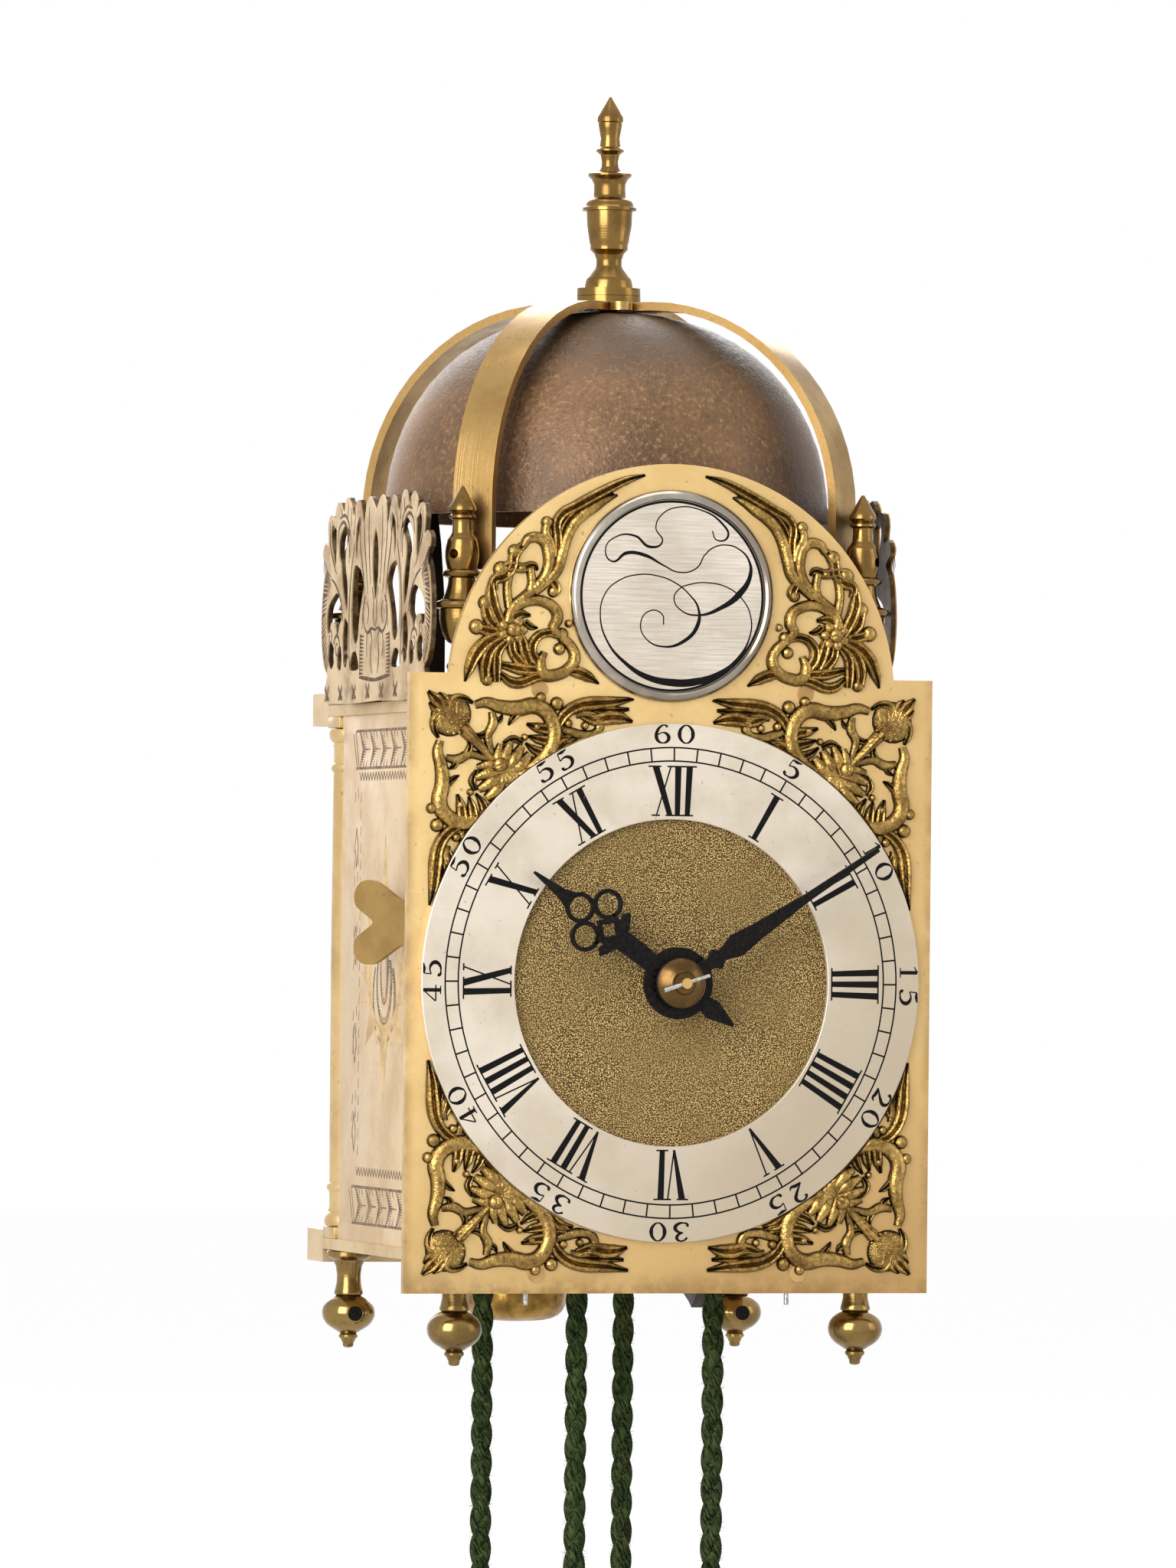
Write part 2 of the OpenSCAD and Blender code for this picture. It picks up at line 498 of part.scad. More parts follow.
// left arch casting
sp_arch = [
    [[-6.6, 105.6, 0.6], [-13, 104, 2.2], [-20, 100.4, 3.1], [-26.2, 94.8, 3.8], [-30.4, 88.6, 4],
        [-32.6, 82, 3.8], [-33, 76, 3.2]],
    [[-26.2, 94.8, 3], [-24.7, 90.4, 2.4], [-26.9, 86.3, 2.2], [-29.6, 86.6, 1.6]],
    [[-31.8, 84, 2], [-36, 85.6, 2], [-38.6, 82, 1.8], [-37.4, 77.4, 1.8], [-34.4, 75, 2.2]],
    [[-41.6, 63.2, 0.5], [-38.4, 65.6, 3.4], [-35.4, 69, 4], [-33.6, 73.6, 3]],
    [[-33.6, 73.6, 3], [-29.4, 77.6, 3.2], [-27, 82.2, 2.4], [-26.4, 84.6, 0.6]],
    [[-33.6, 73.6, 2.6], [-29, 70, 2.8], [-24, 69.6, 2.4], [-21.6, 72.6, 1.8], [-24.2, 74.8, 1.6],
        [-26, 73, 1]],
    [[-35.4, 68, 2.4], [-30.6, 65.4, 2.8], [-24.4, 65, 2.8], [-19.4, 66.2, 2.4], [-15.6, 63.2, 0.5]],
    [[-27, 65.4, 2], [-23.6, 69.4, 1.4]],
    [[-20, 66.4, 2.4], [-21, 69.6, 0.6]],
    [[-35, 70.6, 2.6], [-39.4, 70.8, 2.4], [-42, 72.6, 0.6]],
    [[-32.4, 88.4, 2], [-36.4, 89.4, 1.8], [-38.6, 88.4, 0.5]],
    [[-28.6, 92.4, 2], [-32.6, 94.4, 1.8], [-34.8, 93.8, 0.5]],
    [[-22, 98.8, 2], [-26, 101, 1.6], [-28.2, 100.6, 0.5]],
    [[-20.6, 100, 2], [-19.4, 96.8, 0.6]],
    [[-37.6, 80, 2], [-40.6, 80.6, 1.6], [-42.2, 79.4, 0.5]],
    [[-30.6, 88, 2], [-27.2, 90.4, 0.6]]];
module arch_spandrels() color("#b48a3c") for (s = [0, 1]) mirror([s, 0, 0]) ext(-cast_t, 0) difference() {
    union() {
        translate([0, arch_lift]) for (p = sp_arch) stroke(p);
        translate(screw_at[4]) circle(3.6);
    }
    translate([0, boss_z]) circle(boss_r + 1, $fn = 96);
    translate(screw_at[4]) circle(0.95);
}
// the arch castings rise and fall with the arch
arch_lift = dial_up - 64;
screw_at = [for (s = [-1, 1]) [s*(dial_w/2 - 19.2*k_low), -dial_down + 19*k_low],
    for (s = [-1, 1]) [s*(dial_w/2 - 19.2*k_up), dial_up - 19*k_up],
    for (s = [-1, 1]) [s*34, 73.6 + arch_lift]];
module spandrel_screws() color("#8a6f35") for (p = screw_at) {
    ycyl(p[0], p[1], -cast_t - 0.5, -cast_t, 1.3);
    ycyl(p[0], p[1], -cast_t - e, dial_t + 0.6, 0.85);
}

// motion work and hands
hh_y = -5.2;
mh_y = hh_y - 2;
pipe_r = 3.2;
cannon_r = 2.2;
module hour_hand() color("#22201f") ext(hh_y - hand_t, hh_y) rotate(-hour_a) difference() {
    k = hour_len/38.8;
    union() {
        circle(7.5);
        polygon([for (p = [[-2, 7], [-2.2, 15], [-4.2, 16], [-5.6, 17], [-4.4, 18.2], [-3, 17.8],
            [-3.4, 20], [3.4, 20], [3, 17.8], [4.4, 18.2], [5.6, 17], [4.2, 16], [2.2, 15], [2, 7]])
            [p[0], p[1]*k]]);
        for (s = [-1, 1]) translate([s*4.15, 22*k]) circle(3.2);
        translate([0, 26.4*k]) circle(3.2);
        polygon([[-2.1, 28.4*k], [-1.1, 31.5*k], [-0.25, hour_len], [0.25, hour_len], [1.1, 31.5*k],
            [2.1, 28.4*k]]);
        translate([0, 18.6*k]) rotate(45) square(4.6, center = true);
        polygon([[-1.6, -6.5], [-2.1, -9.4], [-0.3, -15], [0.3, -15], [2.1, -9.4], [1.6, -6.5]]);
    }
    circle(pipe_r - 0.6);
    for (s = [-1, 1]) translate([s*4.15, 22*k]) circle(2.3);
    translate([0, 26.4*k]) circle(2.3);
    translate([0, 18.6*k]) rotate(45) square(2.6, center = true);
}
module minute_hand() color("#22201f") ext(mh_y - hand_t, mh_y) rotate(-minute_a) difference() {
    union() {
        circle(5.4);
        polygon([[-1.6, 4.5], [-1.3, 7.6], [-2.4, 9.4], [-1.2, 10.6], [-2.5, 14.5], [-1.8, 20],
            [-0.9, 32.6], [-0.55, minute_len], [0.55, minute_len], [0.9, 32.6], [1.8, 20], [2.5, 14.5],
            [1.2, 10.6], [2.4, 9.4], [1.3, 7.6], [1.6, 4.5]]);
    }
    circle(cannon_r - 0.6);
}
// domed collet in front of the minute hand
module hand_collet() color("#c8a252") translate([0, mh_y - hand_t, 0]) rotate([90, 0, 0]) difference() {
    rotate_extrude() polygon(concat([[0, 0]], [[4.6, 0], [5.2, 0.3]], arc(0, -4.6, 7.1, 43, 68, 5),
        [[2.3, 2.4], [2.2, 2.8], [0, 2.8]]));
    translate([0, 0, -e]) cylinder(4, arbor_r + pivot_gap, arbor_r + pivot_gap);
}
pin_y = mh_y - hand_t - 2.8 - 0.62;
module hand_pin() color("#b8b8b4") translate([0, pin_y, 0]) rotate([0, -18, 0])
    rotate([0, 90, 0]) translate([0, 0, -5]) cylinder(10.4, 0.5, 0.38);
// hour pipe and its wheel behind the dial
hw_y = dial_t + 1;
module hour_wheel() color("#c9a95a") difference() {
    union() {
        ext(hw_y, hw_y + 1.1) rotate(7.5/2) wheel2(48, 0.5);
        ycyl(0, 0, hh_y, hw_y + 2, pipe_r);
        ycyl(0, 0, hh_y - hand_t, hh_y + e, pipe_r - 0.65);
    }
    ycyl(0, 0, hh_y - 3, hw_y + 3, cannon_r + pivot_gap);
}
mp_y = hw_y + 3;
module minute_wheel() color("#c9a95a") translate([mw_x, 0, mw_z]) difference() {
    union() {
        ext(mp_y, mp_y + 1.1) rotate(90 + 5) wheel2(36, 0.625);
        ext(hw_y - 0.2, mp_y + e) rotate(90) leaf2(12, 0.5);
    }
    ycyl(0, 0, hw_y - 1, mp_y + 2, 0.9 + pivot_gap);
}
// centre arbor with the cannon pinion, centre pinion and centre wheel
cy0 = bar_fy + bar_t + 0.4;
cy1 = bar_my - 0.4;
gy = front_py + pull_w/2 + cheek_t + 0.6;
cw_y = gy + wheel_t + 3;
module centre_arbor() color("#b9b4a4") {
    difference() {
        union() {
            ycyl(0, 0, mh_y - hand_t - 2.8 - 1.6, cy1, arbor_r);
            ycyl(0, 0, mh_y, mp_y + 1.6, cannon_r);
            ycyl(0, 0, mh_y - hand_t, mh_y + e, cannon_r - 0.65);
            ext(mp_y - 0.5, mp_y + 1.6) rotate(90) leaf2(12, 0.625);
            ext(gy - 0.8, gy + wheel_t + 0.8) rotate(go_a + 180) leaf2(pin_n, great_m);
            ext(cw_y, cw_y + 1.3) rotate(cw_a) crossed(cw_n, cw_m, 2, 4);
            ycyl(0, 0, gy - 1.4, cw_y + 1.4, 2);
            ycyl(0, 0, cy1 - e, cy1 + 2, 0.6);
        }
        translate([0, pin_y, 0]) rotate([0, -18, 0]) rotate([0, 90, 0])
            translate([0, 0, -3]) cylinder(6, 0.5, 0.5);
    }
}
line_a = atan2(ctr_z, ctr_x);
cw_a = line_a;
module pulley(x, z, yc, r) difference() {
    union() {
        ycyl(x, z, yc - pull_w/2 - cheek_t, yc + pull_w/2 + cheek_t, r - rope_d/2 - 0.3);
        for (s = [-1, 1]) ycyl(x, z, yc + s*(pull_w/2 + cheek_t/2) - cheek_t/2,
            yc + s*(pull_w/2 + cheek_t/2) + cheek_t/2, r + 1.6);
    }
    for (i = [0:5]) rotate_about(x, z, i*60) ycyl(x + r*0.52, z, yc - 6, yc + 6, r*0.17);
}
module rotate_about(x, z, a) translate([x, 0, z]) rotate([0, -a, 0]) translate([-x, 0, -z]) children();
module going_great_wheel() color("#c9a95a") {
    pulley(go_x, go_z, front_py, pull_f);
    translate([go_x, 0, go_z]) ext(gy, gy + wheel_t) rotate(go_a + 180/great_n) crossed(great_n, great_m, 3, 6);
    ycyl(go_x, go_z, front_py, gy + e, 3);
    arbor(go_x, go_z, cy0, cy1, 1.5);
}
// contrate wheel: a cup whose teeth point to the rear
module contrate_wheel() color("#c9a95a") translate([ctr_x, 0, ctr_z]) {
    ext(k_y, k_y + 1.2) difference() {
        circle(k_r + 0.6);
        for (i = [0:2]) rotate(30 + i*120) difference() {
            intersection() {
                circle(k_r - 1.6);
                polygon([[0, 0], [30*cos(48), -30*sin(48)], [30*cos(48), 30*sin(48)]]);
            }
            circle(4);
        }
    }
    ext(k_y, k_y + 3) difference() {
        circle(k_r + 0.6);
        circle(k_r - 0.6);
    }
    // teeth
    for (i = [0:k_n - 1]) rotate([0, -i*360/k_n - 90, 0]) translate([k_r, k_y + 3 - e, 0])
        linear_tooth();
    ycyl(0, 0, k_y - 1.6, k_y + 1.6, 2.4);
    ext(cw_y - 0.6, cw_y + 2) rotate(line_a + 180/cp_n) leaf2(cp_n, cw_m);
    arbor(0, 0, cy0, cy1, 0.75);
}
module linear_tooth() rotate([0, 90, 0]) translate([0, 0, -0.6]) linear_extrude(1.2)
    polygon([[-0.4, 0], [-0.33, 0.9], [-0.12, 1.5], [0.12, 1.5], [0.33, 0.9], [0.4, 0]]);
// crown wheel on its upright arbor
module crown_wheel() color("#c9a95a") translate([ctr_x, crown_y, 0]) {
    zcyl(0, 0, ctr_z + 10.5, crown_top - 2.6, 0.75);
    zcyl(0, 0, ctr_z + 8.5, ctr_z + 10.5 + e, 0.5);
    zcyl(0, 0, crown_top - 2.6 - e, crown_top - 0.9, 0.5);
    translate([0, 0, ctr_z + k_r - 2]) linear_extrude(4) rotate(-90 + 180/6) leaf2(6, k_m);
    zcyl(0, 0, crown_z - 1, crown_z + 1.6, 2.4);
    translate([0, 0, crown_z]) linear_extrude(1) difference() {
        circle(crown_r);
        for (i = [0:2]) rotate(i*120) difference() {
            intersection() {
                circle(crown_r - 1.5);
                polygon([[0, 0], [30*cos(50), -30*sin(50)], [30*cos(50), 30*sin(50)]]);
            }
            circle(3.4);
        }
    }
    difference() {
        translate([0, 0, crown_z]) cylinder(crown_top - crown_z, crown_r, crown_r);
        translate([0, 0, crown_z - 1]) cylinder(crown_top, crown_r - crown_wall, crown_r - crown_wall);
        // saw-shaped gaps between the teeth
        for (i = [0:crown_n - 1]) rotate(i*360/crown_n) translate([crown_r - 1.4, 0, crown_top - 2.5])
            rotate([90, 0, 90]) linear_extrude(2) polygon([[0, 0], [1, 0.9], [1.7, 2.6], [0, 2.6]]);
    }
}
// verge with two flags over the crown wheel, its arbor and the arm for the pendulum
module verge() color("#8f9094") translate([ctr_x, 0, verge_z]) {
    ycyl(0, 0, crown_y - crown_r - 6, yR - 3, 0.9);
    ycyl(0, 0, crown_y - crown_r - 8, crown_y - crown_r - 6 + e, 0.5);
    ycyl(0, 0, yR - 3 - e, pend_y + 1.2, 0.5);
    for (s = [-1, 1]) translate([0, crown_y + s*(crown_r - 0.45), 0]) rotate([0, s*48, 0])
        translate([-0.45, -1.6, -2.4]) cube([0.9, 3.2, 2.4]);
}
module pendulum_rod() color("#8f9094") translate([ctr_x, pend_y, 0]) difference() {
    union() {
        zcyl(0, 0, bob_z + 3, verge_z, 0.7);
        ycyl(0, verge_z, -0.9, 0.9, 1.6);
    }
    ycyl(0, verge_z, -2, 2, 0.5 + 0.01);
}
// a taller frame takes a longer rod
bob_z = verge_z - pend_len - (frame_h - 113);
module pendulum_bob() color("#c2a050") translate([ctr_x, pend_y, bob_z]) difference() {
    k = bob_r/11.2;
    rotate_extrude() polygon([for (p = concat([[0, 0], [2.2, 0.1]], smooth([[2.2, 0.1], [6.4, 0.4],
        [9.4, 1.4], [10.9, 3.4], [11.2, 5.6], [10.8, 7.8], [9.2, 9.6], [6.6, 10.7], [4.4, 11.2]], 2),
        [[3.3, 11.6], [3.1, 12.4], [0, 12.4]])) [p[0]*k, p[1]]]);
    translate([0, 0, 2.9]) cylinder(10, 0.72, 0.72);
}
module cock(y0, y1, hole) difference() {
    union() {
        ext(y0, y1) polygon([[ctr_x - 5, zTT], [ctr_x + 5, zTT], [ctr_x + 3, zTT + 3],
            [ctr_x + 2.6, verge_z + 1.6], [ctr_x + 1.4, verge_z + 2.6], [ctr_x - 1.4, verge_z + 2.6],
            [ctr_x - 2.6, verge_z + 1.6], [ctr_x - 3, zTT + 3]]);
        translate([ctr_x - 5, y0 - 2.5, zTT]) cube([10, y1 - y0 + 5, 1.6]);
    }
    ycyl(ctr_x, verge_z, y0 - 1, y1 + 1, hole);
}
module verge_cocks() color("#c9a95a") {
    cock(crown_y - crown_r - 8.4, crown_y - crown_r - 6.3, 0.5 + pivot_gap);
    cock(yR - 5.6, yR - 3.4, 0.9 + pivot_gap);
}
// bridge that dips inside the crown wheel to hold its upper pivot below the verge
module crown_bridge() color("#c9a95a") difference() {
    k = crown_r;
    ext(crown_y - 2.4, crown_y + 2.4) translate([ctr_x, 0]) polygon([[-k - 6, zTT], [-k - 2.2, zTT],
        [-k - 2.2, crown_top + 0.5], [-k + 3.4, crown_top + 0.5], [-k + 4.4, crown_top - 2.5],
        [k - 4.4, crown_top - 2.5], [k - 3.4, crown_top + 0.5], [k + 2.2, crown_top + 0.5],
        [k + 2.2, zTT], [k + 6, zTT], [k + 6, crown_top + 2.4], [k - 5, crown_top + 2.4],
        [k - 6.4, crown_top - 0.3], [6.4 - k, crown_top - 0.3], [5 - k, crown_top + 2.4],
        [-k - 6, crown_top + 2.4]]);
    zcyl(ctr_x, crown_y, crown_top - 4, crown_top, 0.5 + pivot_gap);
}
// potence on the middle bar for the crown arbor's foot
module potence() color("#c9a95a") difference() {
    union() {
        translate([ctr_x - 2, crown_y - 1.9, ctr_z + 7.9]) cube([4, bar_my - crown_y + 1.9, 2.2]);
        translate([ctr_x - 2, bar_my - 1.6, ctr_z + 3.6]) cube([4, 1.6, 6.5]);
    }
    zcyl(ctr_x, crown_y, ctr_z + 8.5 - 0.02, ctr_z + 12, 0.5 + pivot_gap);
}
// upright bars: tabs go through slots in both plates
module bar(y, holes, arms) difference() {
    union() {
        translate([-bar_w/2, y, zB]) cube([bar_w, bar_t, frame_h]);
        translate([-3, y, zBB]) cube([6, bar_t, frame_h + 2*plate_t]);
        for (a = arms) translate([a[0], y, a[2]]) cube([a[1] - a[0], bar_t, a[3] - a[2]]);
    }
    for (h = holes) ycyl(h[0], h[1], y - 1, y + bar_t + 1, h[2] + pivot_gap);
}
module front_bar() color("#c9a95a") {
    bar(bar_fy, [[0, 0, arbor_r], [go_x, go_z, 0.6], [ctr_x, ctr_z, 0.6]], []);
    // stud of the minute wheel
    ycyl(mw_x, mw_z, hw_y - 0.3, bar_fy + e, 0.9);
    ycyl(mw_x, mw_z, mp_y + 1.3, bar_fy + e, 2);
}
module middle_bar() color("#c9a95a") difference() {
    bar(bar_my, [[0, 0, 0.6], [go_x, go_z, 0.6], [ctr_x, ctr_z, 0.6], [gx, great_z, 0.6],
        [gx, great_z + cd_great, 0.6], [fly_x, fly_z, 0.6]], [[-2, fly_x + 3.5, fly_z - 3.5, fly_z + 3.5]]);
}
module rear_bar() color("#c9a95a") {
    bar(bar_ry, [[gx, great_z, arbor_r], [gx, great_z + cd_great, 0.6], [fly_x, fly_z, 0.6]],
        [[-2, fly_x + 3.5, fly_z - 3.5, fly_z + 3.5]]);
    ycyl(gx, count_z, bar_ry + bar_t - e, bar_ry + bar_t + 3.6, 1.2);
}
sy0 = bar_my + bar_t + 0.4;
sy1 = bar_ry - 0.4;
ring_pins = 6;
module strike_great_wheel() color("#c9a95a") {
    pulley(gx, great_z, rear_py, pull_r);
    translate([gx, 0, great_z]) {
        ext(sg_y, sg_y + wheel_t) rotate(90 + 180/great_n) crossed(great_n, great_m, 5.4, 6);
        for (i = [0:ring_pins - 1]) rotate([0, -i*60 - 12, 0]) ycyl(17.6, 0, sg_y - 4, sg_y + e, 0.8);
    }
    ycyl(gx, great_z, sg_y, rear_py, 3);
    ycyl(gx, great_z, sy0, sy1, 1.5);
    ycyl(gx, great_z, sy0 - 2, sy0 + e, 0.6);
    ycyl(gx, great_z, sy1 - e, bar_ry + bar_t + 0.4, arbor_r);
    // pinion of report that turns the count wheel
    translate([gx, 0, great_z]) ext(bar_ry + bar_t + 0.4 - e, bar_ry + bar_t + 3.2) rotate(90)
        leaf2(rep_n, count_m);
}
module hoop_wheel() color("#c9a95a") translate([gx, 0, great_z + cd_great]) {
    ext(sg_y - 0.8, sg_y + wheel_t + 0.8) rotate(90) leaf2(pin_n, great_m);
    ext(hoop_y2, hoop_y2 + 1.2) rotate(fly_a) crossed(hoop_n, hoop_m, 2.6, 4);
    // locking hoop with its gap
    ext(hoop_y2 - 3, hoop_y2 + e) difference() {
        circle(11.4);
        circle(10.4);
        rotate(70) translate([0, -3]) square([14, 6]);
    }
    arbor(0, 0, sy0, sy1, 1.2);
}
module fly() color("#c9a95a") translate([fly_x, 0, fly_z]) {
    ext(hoop_y2 - 0.8, hoop_y2 + 2) rotate(fly_a + 180/fly_n) leaf2(fly_n, hoop_m);
    translate([-11, sy1 - 14, -0.35]) cube([22, 11, 0.7]);
    ycyl(0, 0, sy1 - 15, sy1 - 2, 1.5);
    arbor(0, 0, sy0, sy1, 0.8);
}
cnt_y = bar_ry + bar_t + 0.8;
module count_wheel() color("#c9a95a") translate([gx, 0, count_z]) difference() {
    union() {
        ext(cnt_y, cnt_y + 1.2) rotate(-90 + 180/count_n) crossed(count_n, count_m, 8, 5);
        ycyl(0, 0, cnt_y, cnt_y + 2.4, 3);
        // locking rim with a notch before each count
        ext(cnt_y + 1.2 - e, cnt_y + 2.4) difference() {
            circle(23.2);
            circle(20.4);
            for (k = [1:12]) rotate(90 - 360*(k*(k + 1)/2)/78) translate([19, -0.6]) square([5, 1.2]);
        }
    }
    ycyl(0, 0, cnt_y - 2, cnt_y + 4, 1.2 + pivot_gap);
}
// hammer: arbor along Y, stem through the slot in the top plate, head inside the bell
ham_y = ym + 6;
ham_y0 = ham_y - 1.6;
ham_y1 = sg_y - 0.6;
ham_head = zTT + 46;
ham_reach = bell_r - bell_t - 5;
module hammer() color("#2c2a28") {
    ycyl(hammer_x, hammer_z, ham_y0, ham_y1, 1.2);
    ycyl(hammer_x, hammer_z, ham_y0 - 2.2, ham_y0 + e, 0.8);
    ycyl(hammer_x, hammer_z, ham_y1 - e, ham_y1 + 2.2, 0.8);
    ext(ham_y - 1.2, ham_y + 1.2) polygon([[hammer_x - 2, hammer_z], [hammer_x + 2, hammer_z],
        [hammer_x + 1.8, zTT + 20], [hammer_x + 0.8, zTT + 34], [4 - ham_reach, ham_head - 2],
        [4 - ham_reach, ham_head + 1], [1.6 - ham_reach, ham_head + 1], [1.6 - ham_reach, ham_head - 2],
        [hammer_x - 1.6, zTT + 34], [hammer_x - 1.8, zTT + 20]]);
    ycyl(3.2 - ham_reach, ham_head, ham_y - 4.2, ham_y + 4.2, 4.2);
    // tail that the great wheel's pins lift
    ext(sg_y - 3.6, sg_y - 1.4) polygon([[hammer_x - 1.6, hammer_z - 0.8], [hammer_x + 0.6, hammer_z + 1.4],
        [hammer_x + 20.6, hammer_z - 20.6], [hammer_x + 19.2, hammer_z - 21.8]]);
}
module hammer_cocks() color("#c9a95a") for (y = [ham_y0 - 2.4, ham_y1 + 0.3]) difference() {
    union() {
        ext(y, y + 2) polygon([[hammer_x - 2.6, hammer_z - 2.6], [hammer_x + 2.6, hammer_z - 2.6],
            [hammer_x + 2.6, hammer_z + 2.6], [hammer_x - 1, hammer_z + 7], [hammer_x - 1, zT],
            [hammer_x - 6.4, zT], [hammer_x - 6.4, hammer_z + 6], [hammer_x - 2.6, hammer_z + 2.6]]);
        translate([hammer_x - 8, y - 1, zT - 1.6]) cube([5, 4, 1.6]);
    }
    ycyl(hammer_x, hammer_z, y - 1, y + 3, 0.8 + pivot_gap);
}

// bell: an outer and an inner dome
function dome(r, h, z0) = [for (i = [0:14]) let (a = i*90/14)
    [r*pow(max(cos(a), 0), 0.86), z0 + h*pow(sin(a), 0.95)]];
module bell() color("#5e4526") translate([0, ym, 0]) difference() {
    rotate_extrude($fn = 96) polygon(concat(dome(bell_r, bell_h, bell_zr),
        rev(dome(bell_r - bell_t, bell_h - bell_t, bell_zr))));
    zcyl(0, 0, bell_zt - 6, bell_zt + 1, 1.9 + stud_gap);
}
// straps: an arched profile along each diagonal, with pegs into the finials
strap_x0 = strap_r - strap_arc;
strap_zc = strap_z - strap_arc;
strap_foot = fin_peg_z - 3;
module strap() {
    rotate([90, 0, 0]) translate([0, 0, -strap_w/2]) linear_extrude(strap_w)
        polygon(concat([[0, strap_z], [strap_x0, strap_z]], rev(arc(strap_x0, strap_zc, strap_arc, 0, 90, 15)),
        [[strap_r, strap_foot], [strap_r - strap_t, strap_foot]],
        arc(strap_x0, strap_zc, strap_arc - strap_t, 0, 90, 15), [[0, strap_z - strap_t]]));
    translate([strap_r - e, 0, fin_peg_z]) rotate([0, 90, 0]) cylinder(3, 0.95, 0.95);
}
module bell_straps() color("#cda455") translate([0, ym, 0]) difference() {
    union() {
        for (a = [diag_a, 180 - diag_a, 180 + diag_a, -diag_a]) rotate([0, 0, a]) strap();
        // cusped centre plate
        translate([0, 0, strap_z - strap_t]) cylinder(strap_t, 9, 9);
        for (a = [0:90:270]) rotate([0, 0, a]) translate([9.6, 0, strap_z - strap_t])
            cylinder(strap_t, 2.4, 2.4);
    }
    zcyl(0, 0, strap_z - 5, strap_z + 1, 1.9 + stud_gap);
}
module bell_finial() color("#c4a04c") translate([0, ym, strap_z]) {
    rotate_extrude() polygon([[0, 0], [6.94, 0], [6.94, 1.6], [6.5, 1.65], [6.94, 1.7], [6.94, 3.3],
        [5.3, 3.3], [5.27, 3.9], [4.98, 5.3], [3.9, 6.7], [2.95, 7.9], [2.78, 8.5], [2.78, 9.5],
        [3.2, 10.8], [4.1, 11.7], [4.1, 12.7], [4.2, 12.9], [4.34, 13.5], [4.9, 17], [5, 19.9],
        [5.87, 20], [5.87, 20.6], [5.5, 20.9], [5, 22], [3.9, 22.7], [3.56, 23.2], [3.45, 24.5],
        [3.45, 25.6], [3.9, 26.7], [4.73, 27.5], [4.73, 27.9], [2.5, 28.4], [1.9, 29.4], [1.78, 30.5],
        [2.1, 32], [3.06, 32.8], [3, 33.1], [2.3, 33.7], [2.06, 35.5], [2.6, 38.4], [2.56, 38.9],
        [2.85, 39.1], [2.85, 40], [1.9, 41.7], [0.9, 43.3], [0.2, 44.4], [0, 44.4]]);
    zcyl(0, 0, -strap_t - bell_t - 4, e, 1.9);
    // nut inside the bell
    zcyl(0, 0, -strap_t - bell_t - 3.4, -strap_t - bell_t - 0.5, 4.2);
}

// wall side: spacer bars, hoop and spurs
notch = 14;
bar_high = 7;
low_bar_z = zBB - 2.9;
module wall_bars() color("#c9bd9a") {
    for (s = [-1, 1]) {
        translate([s > 0 ? notch : -hw, yR, zTT - 4.3]) cube([hw - notch, bar_deep, bar_high]);
        translate([s > 0 ? hw - 19 : -hw, yR, low_bar_z]) cube([19, bar_deep, bar_high]);
    }
    translate([-notch - 1, wall_y - 2.6, zTT - 4.3]) cube([2*notch + 2, 2.6, 3.4]);
}
// iron hoop: the wall hook lifts it at the origin
hoop_r = 1.6;
hoop_in = 9;
module hanging_hoop() color("#4a4642") {
    for (s = [-1, 1]) {
        ycyl(s*hoop_in, hoop_z + hoop_r, yR - 12, hoop_y - hoop_in, hoop_r);
        translate([s*hoop_in - 3.2, yR - 19, zTT]) cube([6.4, 9, hoop_z + hoop_r - zTT + 0.6]);
    }
    translate([0, hoop_y - hoop_in, hoop_z + hoop_r]) rotate_extrude(angle = 180)
        translate([hoop_in, 0]) circle(hoop_r);
}
module wall_spurs() color("#4c4a48") for (s = [-1, 1]) translate([s*39.6 - 3.6, 0, 0]) rotate([90, 0, 90])
    linear_extrude(7.2) polygon([[yR + 0.6, low_bar_z], [wall_y - 0.6, low_bar_z],
    [wall_y - 0.6, low_bar_z - 4.8], [wall_y + 2.6, low_bar_z - 7.4], [wall_y - 1.6, low_bar_z - 9],
    [wall_y - 4, low_bar_z - 10.4], [yR + 5, low_bar_z - 6.8], [yR + 1.4, low_bar_z - 2.4]]);

// ropes: a swept tube along hand-chosen points
function ring3(p, d, r, n) = let (u = unit(cross(d, [0, 1, 0.001])), v = cross(d, u))
    [for (i = [0:n - 1]) p + r*(cos(i*360/n)*u + sin(i*360/n)*v)];
module tube(p, r, n = 8) {
    m = len(p);
    pts = [for (i = [0:m - 1]) each ring3(p[i], unit(p[min(i + 1, m - 1)] - p[max(i - 1, 0)]), r, n)];
    polyhedron(pts, concat([[for (i = [0:n - 1]) i]], [for (i = [0:m - 2]) for (j = [0:n - 1])
        for (t = [0, 1]) t == 0 ? [i*n + j, (i + 1)*n + j, i*n + (j + 1) % n] :
        [(i + 1)*n + j, (i + 1)*n + (j + 1) % n, i*n + (j + 1) % n]],
        [[for (i = [n - 1:-1:0]) (m - 1)*n + i]]));
}
// over a pulley, from the bottom plate's underside up, round and down again
function over(x, z, y, r) = concat([[x - r, y, zBB], [x - r, y, zBB + 11], [x - r, y, zBB + 22]],
    [for (i = [0:12]) [x - r*cos(i*15), y, z + r*sin(i*15)]],
    [[x + r, y, zBB + 22], [x + r, y, zBB + 11], [x + r, y, zBB]]);
module going_rope() color("#2f5a35") tube(over(go_x, go_z, front_py, pull_f), rope_d/2);
module strike_rope() color("#2f5a35") tube(over(gx, great_z, rear_py, pull_r), rope_d/2);
